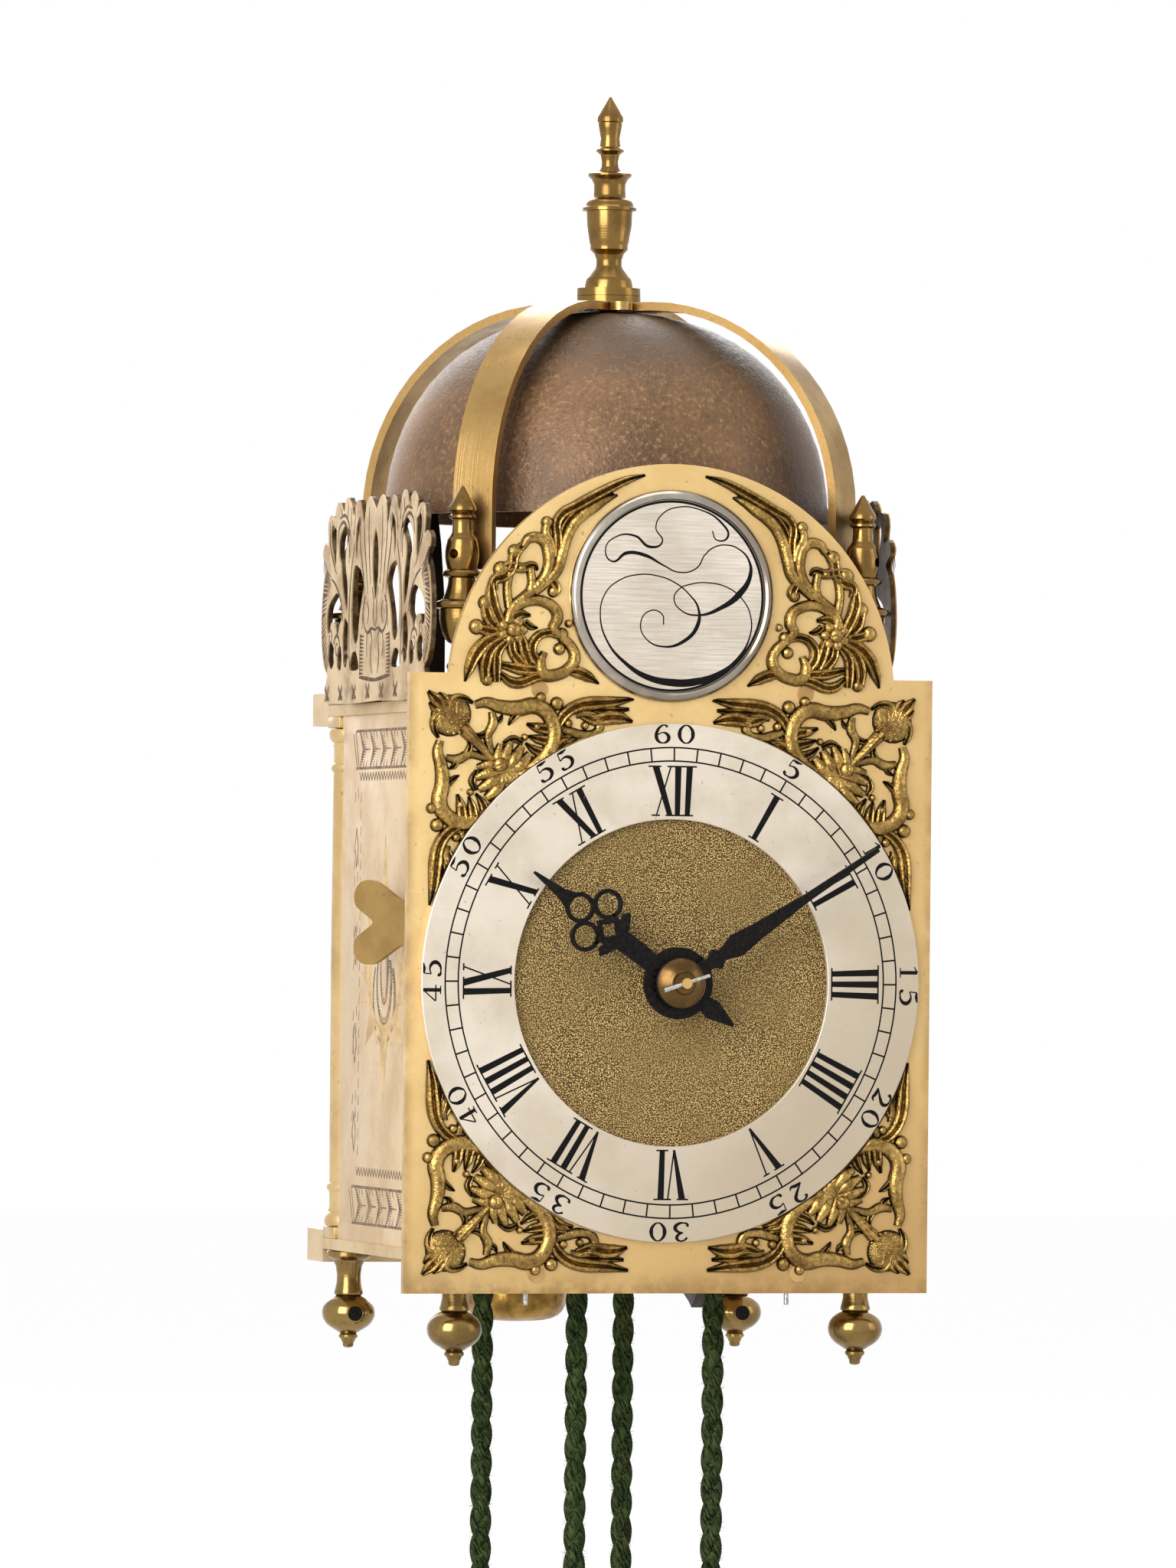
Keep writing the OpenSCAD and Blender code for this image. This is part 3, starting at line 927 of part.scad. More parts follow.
// free strands below the plate, hanging straight
module strand(x, y) color("#2f5a35") tube([for (i = [0:6]) [x, y, zBB - rope_down*i/6]], rope_d/2);
module going_rope_left() strand(go_x - pull_f, front_py);
module going_rope_right() strand(go_x + pull_f, front_py);
module strike_rope_left() strand(gx - pull_r, rear_py);
module strike_rope_right() strand(gx + pull_r, rear_py);
// stopper knot at each strand's end: two turns round the rope's own part, and its cut end below
module rope_knots() color("#2f5a35") for (p = [[go_x - pull_f, front_py], [go_x + pull_f, front_py],
    [gx - pull_r, rear_py], [gx + pull_r, rear_py]]) translate([p[0], p[1], zBB - rope_down]) {
    rotate_extrude() polygon([[0, -10.6], [3.4, -10.6], [4.6, -9.6], [5, -8.2], [5, -3.6], [4.6, -2.2],
        [3.4, -1.2], [0, -1.2]]);
    translate([0, 0, -13.2]) cylinder(13.2, rope_d/2, rope_d/2);
}

place() top_plate();
place() bottom_plate();
place() pillars_front();
place() pillars_rear();
place() finials_front();
place() finials_rear();
place() feet_front();
place() feet_rear();
place() fret_left();
place() fret_right();
place() door_left();
place() door_right();
place() handle_left();
place() handle_right();
place() dial_plate();
place() dial_pins();
place() chapter_ring();
place() arch_boss();
place() spandrels_upper();
place() spandrels_lower();
place() arch_spandrels();
place() spandrel_screws();
place() hour_hand();
place() minute_hand();
place() hand_collet();
place() hand_pin();
place() hour_wheel();
place() minute_wheel();
place() centre_arbor();
place() going_great_wheel();
place() contrate_wheel();
place() crown_wheel();
place() verge();
place() pendulum_rod();
place() pendulum_bob();
place() verge_cocks();
place() crown_bridge();
place() potence();
place() front_bar();
place() middle_bar();
place() rear_bar();
place() strike_great_wheel();
place() hoop_wheel();
place() fly();
place() count_wheel();
place() hammer();
place() hammer_cocks();
place() bell();
place() bell_straps();
place() bell_finial();
place() wall_bars();
place() hanging_hoop();
place() wall_spurs();
place() going_rope();
place() strike_rope();
place() going_rope_left();
place() going_rope_right();
place() strike_rope_left();
place() strike_rope_right();
place() rope_knots();
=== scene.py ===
"""A small posted lantern clock: brass frame and arched dial, strapped bell, rear pendulum and two ropes."""

import math
import random
import bpy
from mathutils import Matrix, Vector


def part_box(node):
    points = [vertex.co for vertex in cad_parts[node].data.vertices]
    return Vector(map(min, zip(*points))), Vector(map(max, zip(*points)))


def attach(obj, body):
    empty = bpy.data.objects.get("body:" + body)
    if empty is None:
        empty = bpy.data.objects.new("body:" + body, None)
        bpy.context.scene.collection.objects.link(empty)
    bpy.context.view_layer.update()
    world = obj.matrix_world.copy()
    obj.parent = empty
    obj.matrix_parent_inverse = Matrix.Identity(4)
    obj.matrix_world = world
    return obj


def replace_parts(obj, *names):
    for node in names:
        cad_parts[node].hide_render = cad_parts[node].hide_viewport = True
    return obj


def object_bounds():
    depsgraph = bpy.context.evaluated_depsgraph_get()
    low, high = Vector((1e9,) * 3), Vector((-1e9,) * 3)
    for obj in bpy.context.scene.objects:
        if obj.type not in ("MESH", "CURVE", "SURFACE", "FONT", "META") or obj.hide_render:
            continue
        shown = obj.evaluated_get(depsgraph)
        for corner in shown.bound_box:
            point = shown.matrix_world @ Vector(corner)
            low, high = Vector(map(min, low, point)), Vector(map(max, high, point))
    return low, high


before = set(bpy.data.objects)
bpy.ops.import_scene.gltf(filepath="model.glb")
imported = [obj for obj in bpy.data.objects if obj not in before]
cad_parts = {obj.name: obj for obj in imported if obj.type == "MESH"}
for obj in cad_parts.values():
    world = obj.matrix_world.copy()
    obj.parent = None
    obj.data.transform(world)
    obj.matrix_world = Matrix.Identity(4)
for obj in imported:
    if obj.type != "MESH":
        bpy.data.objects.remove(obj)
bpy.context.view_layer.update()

# Camera
# It stands about two metres in front, left of the dial's middle and a little below it, with a long
# lens. Places are given in millimetres from the hands' centre on the dial plate's front.
ring_lo, ring_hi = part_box("chapter_ring")
hands_centre = Vector(((ring_lo.x + ring_hi.x) / 2, ring_hi.y, (ring_lo.z + ring_hi.z) / 2))


def at(x, y, z):
    """The place in the scene, in metres, of a point given in millimetres from the hands' centre."""
    return hands_centre + Vector((x, y, z)) * 0.001


lens_mm, sensor_mm, stands_off = 223.2, 36, 2.02507
looks_at = (-18.307, 0, 41.28)
yaw, pitch, roll = math.radians(16.26), math.radians(0.799), math.radians(0.583)

lens_data = bpy.data.cameras.new("camera")
lens_data.sensor_width = sensor_mm
lens_data.lens = lens_mm
lens_data.clip_start, lens_data.clip_end = 0.1, 20
camera = bpy.data.objects.new("camera", lens_data)
bpy.context.scene.collection.objects.link(camera)
forward = Vector((math.sin(yaw) * math.cos(pitch), math.cos(yaw) * math.cos(pitch), math.sin(pitch)))
level = Vector((math.cos(yaw), -math.sin(yaw), 0))
upward = level.cross(forward)
right = math.cos(roll) * level + math.sin(roll) * upward
above = math.cos(roll) * upward - math.sin(roll) * level
turned = Matrix((right, above, -forward)).transposed().to_4x4()
camera.matrix_world = Matrix.Translation(at(*looks_at) - forward * stands_off) @ turned
bpy.context.scene.camera = camera
bpy.context.scene.view_settings.view_transform = "Standard"

# Ropes
# Soft green wool rope, two fat plies laid up together, with its loose fibres standing off. One rope
# runs over each pulley, and its two free strands hang through the bottom plate, held taut by the
# weights, and end in a stopper knot.


class Value:
    """A number or colour that changes over a surface."""

    def __init__(self, finish, socket):
        self.finish, self.socket = finish, socket

    def work(self, operation, *parts):
        """The outcome of a sum or comparison of these parts."""
        return self.finish.node("ShaderNodeMath", {"operation": operation}, dict(enumerate(parts)))

    def __add__(self, other):
        return self.work("ADD", self, other)

    def __sub__(self, other):
        return self.work("SUBTRACT", self, other)

    def __rsub__(self, other):
        return self.work("SUBTRACT", other, self)

    def __mul__(self, other):
        return self.work("MULTIPLY", self, other)

    def __pow__(self, other):
        return self.work("POWER", self, other)

    def __lt__(self, other):
        return self.work("LESS_THAN", self, other)

    def __abs__(self):
        return self.work("ABSOLUTE", self)


class Finish:
    """A material, built from its surface inwards."""

    def __init__(self, name, **constants):
        self.material = bpy.data.materials.new(name)
        self.material.use_nodes = True
        self.tree = self.material.node_tree
        self.tree.nodes.clear()
        self.shader = self.tree.nodes.new("ShaderNodeBsdfPrincipled")
        end = self.tree.nodes.new("ShaderNodeOutputMaterial")
        self.tree.links.new(self.shader.outputs[0], end.inputs["Surface"])
        for socket, value in constants.items():
            self.shader.inputs[socket.replace("_", " ")].default_value = value
        self.place = self.node("ShaderNodeTexCoord", out="Object")

    def node(self, kind, settings=(), inputs=(), out=0):
        """A new node with these settings and inputs, as the value of one of its outputs."""
        made = self.tree.nodes.new(kind)
        for key, value in dict(settings).items():
            setattr(made, key, value)
        for key, value in dict(inputs).items():
            if isinstance(value, Value):
                self.tree.links.new(value.socket, made.inputs[key])
            else:
                made.inputs[key].default_value = value
        return Value(self, made.outputs[out])

    def grain(self, scale, detail=4.0, roughness=0.55, squeeze=(1, 1, 1)):
        """Cloudy noise from 0 to 1, finer along an axis where the squeeze is larger."""
        spot = self.node("ShaderNodeVectorMath", {"operation": "MULTIPLY"}, {0: self.place, 1: squeeze})
        return self.node("ShaderNodeTexNoise", {}, {"Vector": spot, "Scale": scale, "Detail": detail,
                                                    "Roughness": roughness})

    def ease(self, value, low, high, start=0.0, end=1.0):
        """Goes smoothly from start to end while the value goes from low to high."""
        return self.node("ShaderNodeMapRange", {"interpolation_type": "SMOOTHSTEP"},
                         {0: value, 1: low, 2: high, 3: start, 4: end})

    def mix(self, share, first, second):
        """The first colour, with the share of it that turns into the second."""
        return self.node("ShaderNodeMix", {"data_type": "RGBA", "clamp_factor": True},
                         {0: share, 6: first, 7: second}, out=2)

    def part(self, axis):
        """One coordinate of the place on the piece: 0 across, 1 back or 2 up."""
        return self.node("ShaderNodeSeparateXYZ", {}, {0: self.place}, out=axis)

    def feed(self, socket, value):
        """Joins a value to a socket of the shader."""
        self.tree.links.new(value.socket, self.shader.inputs[socket])

    def relief(self, height, distance, strength=1.0):
        """Raises the surface by a height between 0 and 1 of a distance in metres."""
        bump = self.node("ShaderNodeBump", {}, {"Height": height, "Distance": distance,
                                                "Strength": strength})
        self.tree.links.new(bump.socket, self.shader.inputs["Normal"])


def srgb(r, g, b):
    """The linear colour, with its alpha, of a red, green and blue between 0 and 255."""
    line = [c / 255 for c in (r, g, b)]
    return tuple(c / 12.92 if c <= 0.04045 else ((c + 0.055) / 1.055) ** 2.4 for c in line) + (1.0,)


rope_r, lay_pitch, rope_down = 2.35, 12.4, 71.0
plate_under = -58.9
# each rope's pulley: across, up, back, and its radius
pulleys = {"going": (0.8, -24.991, 18.6, 15.0), "strike": (-3.0, -25.004, 75.2, 15.8)}
strand_sides = (("left", -1, 0.7), ("right", 1, 2.0))

wool = Finish("green_wool", Roughness=0.98, Specular_IOR_Level=0.08)
slanted = wool.part(0) + wool.part(2) * 0.5
fibre_way = wool.node("ShaderNodeCombineXYZ", {}, {0: slanted, 1: wool.part(1), 2: wool.part(2) * 0.14})
fibre = wool.node("ShaderNodeTexNoise", {}, {"Vector": fibre_way, "Scale": 1900.0, "Detail": 4.0,
                                             "Roughness": 0.65})
dye = wool.grain(260, 3)
green = wool.mix(wool.ease(fibre, 0.36, 0.68), srgb(3, 6, 3), srgb(78, 90, 52))
wool.feed("Base Color", wool.mix(wool.ease(dye, 0.3, 0.75, 0, 0.4), green, srgb(18, 40, 22)))
wool.relief(fibre, 0.0005, 1.0)


def deselect():
    """Leaves no piece selected, in object mode."""
    if bpy.context.object and bpy.context.object.mode == "EDIT":
        bpy.ops.object.mode_set(mode="OBJECT")
    bpy.ops.object.select_all(action="DESELECT")


def choose(piece):
    """Selects one piece alone and makes it the active one."""
    deselect()
    piece.select_set(True)
    bpy.context.view_layer.objects.active = piece


def settle(piece, name, body, finish, smooth=None):
    """Names a finished piece, puts its place into its mesh and fixes it to its body."""
    choose(piece)
    bpy.ops.object.transform_apply(location=True, rotation=True, scale=True)
    piece.name = name
    piece.data.name = name
    if smooth:
        bpy.ops.object.shade_smooth_by_angle(angle=math.radians(smooth))
    piece.data.materials.clear()
    piece.data.materials.append(finish.material)
    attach(piece, body)
    return piece


def apply_modifiers(piece):
    """Puts every modifier of a piece into its mesh."""
    choose(piece)
    for m in list(piece.modifiers):
        bpy.ops.object.modifier_apply(modifier=m.name)


def laid_rope(length, phase):
    """A straight length of rope along -Z from the origin: a waisted ring wound down one screw."""
    waist_share, steps_a_turn = 0.58, 20
    deselect()
    bpy.ops.mesh.primitive_circle_add(vertices=24, radius=rope_r * 0.001, fill_type="NOTHING")
    piece = bpy.context.object
    for v in piece.data.vertices:
        a = math.atan2(v.co.y, v.co.x)
        v.co *= waist_share + (1 - waist_share) * abs(math.cos(a)) ** 0.7
    piece.rotation_euler.z = phase
    bpy.ops.object.transform_apply(rotation=True)
    turns = length / lay_pitch
    screw = piece.modifiers.new("lay", "SCREW")
    screw.angle, screw.screw_offset = -turns * 2 * math.pi, -length * 0.001
    screw.steps = screw.render_steps = int(turns * steps_a_turn)
    apply_modifiers(piece)
    bpy.ops.object.mode_set(mode="EDIT")
    bpy.ops.mesh.select_all(action="SELECT")
    bpy.ops.mesh.remove_doubles(threshold=1e-6)
    bpy.ops.mesh.select_all(action="DESELECT")
    bpy.ops.mesh.select_mode(type="EDGE")
    bpy.ops.mesh.select_non_manifold(extend=False)
    bpy.ops.mesh.edge_face_add()
    bpy.ops.mesh.select_all(action="SELECT")
    bpy.ops.mesh.normals_make_consistent(inside=False)
    bpy.ops.object.mode_set(mode="OBJECT")
    bpy.ops.object.shade_smooth()
    return piece


def fibres(name, strands, count, seed):
    """Loose wool ends that stand off a rope, along the given strands."""
    chance = random.Random(seed)
    line = bpy.data.curves.new(name, "CURVE")
    line.dimensions, line.bevel_depth, line.bevel_resolution = "3D", 0.00004, 0
    for x, y, top, bottom in strands:
        for _ in range(count):
            z, a = chance.uniform(bottom + 1, top - 1), chance.uniform(0, 2 * math.pi)
            lean, reach = chance.uniform(-0.9, 0.9), chance.uniform(0.25, 0.75)
            fibre_end = line.splines.new("POLY")
            fibre_end.points.add(2)
            for k, (out, turn, fall) in enumerate(((1.75, 0, 0), (2.1, 0.14, 0.3),
                                                   (2.2 + reach, 0.3, 0.9))):
                b = a + turn * lean * 2
                spot = at(x + out * math.cos(b), y + out * math.sin(b), z + fall * lean)
                fibre_end.points[k].co = (*spot, 1)
                fibre_end.points[k].radius = 1 - 0.35 * k
    piece = bpy.data.objects.new(name, line)
    bpy.context.scene.collection.objects.link(piece)
    choose(piece)
    bpy.ops.object.convert(target="MESH")
    return bpy.context.object


hair = Finish("wool_ends", Roughness=0.95, Specular_IOR_Level=0.1)
hair.feed("Base Color", hair.mix(hair.ease(hair.grain(420, 2), 0.35, 0.65), srgb(26, 36, 16),
                                 srgb(84, 98, 58)))


def poly_line(name, spots):
    """An open curve through places in millimetres, linked to the scene."""
    curve = bpy.data.curves.new(name, "CURVE")
    curve.dimensions = "3D"
    line = curve.splines.new("POLY")
    line.points.add(len(spots) - 1)
    for point, spot in zip(line.points, spots):
        point.co = (*at(*spot), 1)
    piece = bpy.data.objects.new(name, curve)
    bpy.context.scene.collection.objects.link(piece)
    return piece


def stopper_knot(x, y, top):
    """Two turns wound round the rope's own end, which comes out below."""
    core = laid_rope(13.2, 0.4)
    core.location = at(x, y, top - 0.02)
    parts, turns, wide, drop = 44, 2.15, 3.0, 5.2
    shares = [min(1, 0.35 + k / 6, 0.35 + (parts - k) / 6) for k in range(parts + 1)]
    angles = [2 * math.pi * turns * k / parts for k in range(parts + 1)]
    wound = poly_line("coil", [(x + wide * share * math.cos(a), y + wide * share * math.sin(a),
                                top - 3.4 - drop * k / parts)
                               for k, (share, a) in enumerate(zip(shares, angles))])
    wound.data.bevel_depth, wound.data.bevel_resolution = 0.00185, 4
    for k, point in enumerate(wound.data.splines[0].points):
        point.radius = min(1, 0.5 + k / 8, 0.5 + (parts - k) / 8)
    choose(wound)
    bpy.ops.object.convert(target="MESH")
    wound = bpy.context.object
    choose(core)
    wound.select_set(True)
    bpy.ops.object.join()
    return bpy.context.object


def rope_over(x, z, y, r):
    """The rope over its pulley, from one strand round to the other."""
    straight = [plate_under + 0.02, plate_under + 11, plate_under + 22]
    route = [(x - r, up) for up in straight]
    turns = [math.radians(k * 6) for k in range(31)]
    route += [(x - r * math.cos(a), z + r * math.sin(a)) for a in turns]
    route += [(x + r, up) for up in reversed(straight)]
    guide = poly_line("way", [(across, y, up) for across, up in route])
    loop = laid_rope(sum(math.dist(a, b) for a, b in zip(route, route[1:])), 0.7)
    loop.rotation_euler = (0, math.pi / 2, 0)
    bpy.ops.object.transform_apply(rotation=True)
    if max(v.co.x for v in loop.data.vertices) < 0.01:
        loop.rotation_euler = (0, math.pi, 0)
        bpy.ops.object.transform_apply(rotation=True)
    follow = loop.modifiers.new("follow", "CURVE")
    follow.object, follow.deform_axis = guide, "POS_X"
    apply_modifiers(loop)
    bpy.data.objects.remove(guide)
    return loop


knots = []
for rope, (px, pz, py, pr) in pulleys.items():
    for side, s, phase in strand_sides:
        x = px + s * pr
        rope_end = plate_under - rope_down
        strand = laid_rope(rope_down, phase)
        strand.location = at(x, py, plate_under)
        settle(strand, f"{rope}_strand_{side}", "frame", wool)
        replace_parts(strand, f"{rope}_rope_{side}")
        knot = stopper_knot(x, py, rope_end)
        knots.append(settle(knot, f"{rope}_knot_{side}", "frame", wool, 60))
        ends = fibres(f"{rope}_fibres_{side}", [(x, py, plate_under, rope_end)], 420, 7 + s + len(rope))
        settle(ends, f"{rope}_fibres_{side}", "frame", hair)
    loop = rope_over(px, pz, py, pr)
    settle(loop, f"{rope}_rope_over", "frame", wool)
    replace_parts(loop, f"{rope}_rope")
for knot in knots:
    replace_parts(knot, "rope_knots")

# Dial plate
# Rolled brass plate with an arched top, on four feet riveted through it. Its middle is matted with a
# small round punch, and the plain ground round the castings is lacquered and has darkened at the rim.


def brass(name, light, dark, polish=0.3, metal=0.85, worn=0.5, grain_size=1400, grain_depth=0.00003,
          patch=90, specks=0.35, scratch=(1, 1, 1)):
    """Brass of a light and a tarnished colour, with patches, specks, fine lines and an uneven polish."""
    made = Finish(name, Metallic=metal, IOR=1.45)
    cloud = made.grain(patch, 5, 0.62)
    fine = made.grain(grain_size, 3, 0.6, squeeze=scratch)
    speck = made.grain(620, 2, 0.5)
    colour = made.mix(made.ease(cloud, 0.36, 0.68, 0, worn), light, dark)
    colour = made.mix(made.ease(speck, 0.66, 0.76, 0, specks), colour,
                      tuple(c * 0.35 for c in dark[:3]) + (1,))
    made.colour, made.cloud, made.fine = colour, cloud, fine
    made.feed("Base Color", colour)
    made.feed("Roughness", made.ease(cloud, 0.3, 0.75, polish, polish + 0.16) + (fine - 0.5) * 0.12)
    made.relief(fine, grain_depth, 0.6)
    return made


def dress(node, finish):
    """A CAD node keeps its own shape and takes this material."""
    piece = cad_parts[node]
    piece.data.materials.clear()
    piece.data.materials.append(finish.material)


def turned_copy(node, finish, angle=32, body="frame", name=None):
    """A lathe-turned piece: the node's own shape, merged, with its curves smoothed for polish."""
    choose(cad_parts[node])
    bpy.ops.object.duplicate()
    piece = bpy.context.object
    for key in list(piece.keys()):
        del piece[key]
    piece.parent = None
    bpy.ops.object.mode_set(mode="EDIT")
    bpy.ops.mesh.select_all(action="SELECT")
    bpy.ops.mesh.remove_doubles(threshold=2e-6)
    bpy.ops.object.mode_set(mode="OBJECT")
    if piece.data.has_custom_normals:
        bpy.ops.mesh.customdata_custom_splitnormals_clear()
    settle(piece, name or node + "_turned", body, finish, angle)
    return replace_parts(piece, node)


plate_brass = brass("dial_plate_brass", srgb(232, 200, 138), srgb(204, 164, 104), polish=0.34, metal=0.6,
                    worn=0.55, grain_size=900, patch=70, specks=0.5)
dial_x, dial_z = plate_brass.part(0), plate_brass.part(2)
from_hands = ((dial_x - hands_centre.x) ** 2.0 + (dial_z - hands_centre.z) ** 2.0) ** 0.5
matt_radius = 0.0345
in_matt = from_hands < matt_radius
punched = plate_brass.node("ShaderNodeTexVoronoi", {"feature": "F1"},
                           {"Vector": plate_brass.place, "Scale": 3000.0, "Randomness": 1.0})
punch_grit = plate_brass.grain(3400, 2, 0.5)
punch_tone = plate_brass.mix(plate_brass.ease(punched, 0.12, 0.62), srgb(224, 194, 126), srgb(82, 60, 26))
punch_cloud = plate_brass.ease(plate_brass.grain(75, 3), 0.35, 0.7, 0, 0.5)
punch_tone = plate_brass.mix(punch_cloud, punch_tone, srgb(128, 104, 58))
rim_x = plate_brass.ease(abs(dial_x - hands_centre.x), 0.0545, 0.0576, 0, 0.6)
rim_low = plate_brass.ease(hands_centre.z - dial_z, 0.0585, 0.0655, 0, 0.8)
rim = rim_x + rim_low * (1.0 - rim_x)
rim_dirt = rim * plate_brass.ease(plate_brass.grain(160, 5, 0.65), 0.36, 0.6, 0.25, 0.95)
# painted shade: the plain ground is darker towards the bottom and towards the right
shade_low_painted = plate_brass.ease(hands_centre.z - dial_z, 0.01, 0.066, 0, 0.6)
shade_right_painted = plate_brass.ease(dial_x - hands_centre.x, -0.03, 0.057, 0, 0.5)
ground = plate_brass.mix(shade_low_painted + shade_right_painted, plate_brass.colour, srgb(186, 150, 96))
ground = plate_brass.mix(rim_dirt, ground, srgb(138, 104, 60))
plate_brass.feed("Base Color", plate_brass.mix(in_matt, ground, punch_tone))
matt_bump = in_matt * (punched * 2.2 + punch_grit * 0.6) + (1.0 - in_matt) * plate_brass.fine * 0.12
plate_brass.relief(matt_bump, 0.00016, 0.9)
plate_brass.feed("Roughness", plate_brass.ease(plate_brass.cloud, 0.3, 0.75, 0.26, 0.44) + in_matt * 0.06)
dress("dial_plate", plate_brass)


def lay_flat(piece, origin, side="dial"):
    """Turns a piece drawn on the XY plane, its face towards +Z, to lie on the dial or on a side."""
    ways = {"dial": ((1, 0, 0), (0, 0, 1), (0, -1, 0)),
            "left": ((0, -1, 0), (0, 0, 1), (-1, 0, 0)),
            "right": ((0, 1, 0), (0, 0, 1), (1, 0, 0))}
    turn = Matrix([Vector(v) for v in ways[side]]).transposed().to_4x4()
    piece.matrix_world = Matrix.Translation(origin) @ turn @ piece.matrix_world
    choose(piece)
    bpy.ops.object.transform_apply(location=True, rotation=True, scale=True)


def strokes(lines, flat, curved=True, turn=12):
    """Engraver's strokes on the XY plane: each is a list of (across, up, width) in millimetres. One whose
    first word is "ring" closes on itself. They come back as one low mesh with its face towards +Z."""
    drawn = bpy.data.curves.new("strokes", "CURVE")
    drawn.dimensions, drawn.bevel_depth, drawn.bevel_resolution = "3D", 0.0005, 1
    drawn.use_fill_caps, drawn.resolution_u = True, turn
    for line in lines:
        closed = line[0] == "ring"
        points = line[1:] if closed else line
        bent = curved and len(points) > 2
        made = drawn.splines.new("BEZIER" if bent else "POLY")
        knots = made.bezier_points if bent else made.points
        knots.add(len(points) - 1)
        for knot, (u, v, w) in zip(knots, points):
            knot.co = (u * 0.001, v * 0.001, 0) if bent else (u * 0.001, v * 0.001, 0, 1)
            knot.radius = w
            if bent:
                knot.handle_left_type = knot.handle_right_type = "AUTO"
        made.use_cyclic_u = closed
    piece = bpy.data.objects.new("strokes", drawn)
    bpy.context.scene.collection.objects.link(piece)
    choose(piece)
    bpy.ops.object.convert(target="MESH")
    piece = bpy.context.object
    piece.scale = (1, 1, flat)
    bpy.ops.object.transform_apply(scale=True)
    return piece


def widened(lines, share, more=0.0):
    """The same strokes, with each width times share and with more added."""
    return [[p if p == "ring" else (p[0], p[1], p[2] * share + more) for p in line] for line in lines]


def soften(piece, width, angle=30):
    """Breaks the edges of a piece that are sharper than the angle, by a width in metres."""
    edge = piece.modifiers.new("edge", "BEVEL")
    edge.width, edge.segments = width, 2
    edge.limit_method, edge.angle_limit = "ANGLE", math.radians(angle)
    apply_modifiers(piece)


# rivet ends of the four feet, filed flush, and the fine line round each
foot_brass = brass("foot_brass", srgb(196, 162, 106), srgb(140, 104, 56), polish=0.36, worn=0.6)
foot_places = ((-29, 60.85), (29, 60.85), (-28.5, -60.7), (28.5, -60.7))
for k, (x, z) in enumerate(foot_places):
    deselect()
    bpy.ops.mesh.primitive_cylinder_add(vertices=40, radius=0.00178, depth=0.0003, location=(0, 0, 0))
    bpy.ops.object.mode_set(mode="EDIT")
    bpy.ops.mesh.select_all(action="DESELECT")
    bpy.ops.mesh.select_mode(type="FACE")
    bpy.ops.object.mode_set(mode="OBJECT")
    rivet = bpy.context.object
    for face in rivet.data.polygons:
        face.select = face.normal.z > 0.9
    bpy.ops.object.mode_set(mode="EDIT")
    bpy.ops.mesh.inset(thickness=0.00022, depth=0.00006)
    bpy.ops.object.mode_set(mode="OBJECT")
    lay_flat(rivet, at(x, -0.08, z))
    settle(rivet, f"foot_rivet_{k}", "frame", foot_brass, 40)

# Chapter ring
# Silvered brass ring with the hours in Roman and the minutes in plain figures, all cut with a graver
# and filled with black wax. The minutes lie between two circles.
silver = Finish("silvered_brass", Metallic=0.55, IOR=1.45)
silver_cloud = silver.grain(55, 5, 0.6)
silver_fine = silver.grain(700, 3, 0.6, squeeze=(0.2, 1, 3.5))
silver_colour = silver.mix(silver.ease(silver_cloud, 0.35, 0.7, 0, 0.8), srgb(216, 205, 188),
                           srgb(192, 178, 156))
silver_worn = silver.mix(silver.ease(silver.grain(900, 2), 0.68, 0.78, 0, 0.5), silver_colour,
                         srgb(120, 104, 84))
# painted shade: the ring is darker towards its lower right
low_right = (silver.part(0) - hands_centre.x) - (silver.part(2) - hands_centre.z)
silver_shade_painted = silver.ease(low_right, -0.015, 0.07, 0, 0.8)
silver.feed("Base Color", silver.mix(silver_shade_painted, silver_worn, srgb(176, 160, 136)))
silver.feed("Roughness", silver.ease(silver_fine, 0.3, 0.7, 0.34, 0.46))
silver.relief(silver_fine, 0.00002, 0.5)
ring_piece = turned_copy("chapter_ring", silver, 30, name="chapter_ring_silvered")
soften(ring_piece, 0.00018, 60)

wax = Finish("black_wax", Specular_IOR_Level=0.12)
wax_fleck = wax.grain(1100, 3, 0.6, squeeze=(1, 1, 0.25))
wax.feed("Base Color", wax.mix(wax.ease(wax_fleck, 0.66, 0.76, 0, 0.4), srgb(8, 7, 7), srgb(96, 86, 74)))
wax.feed("Roughness", wax.ease(wax_fleck, 0.3, 0.7, 0.3, 0.6))
wax.relief(wax_fleck, 0.00004, 0.6)

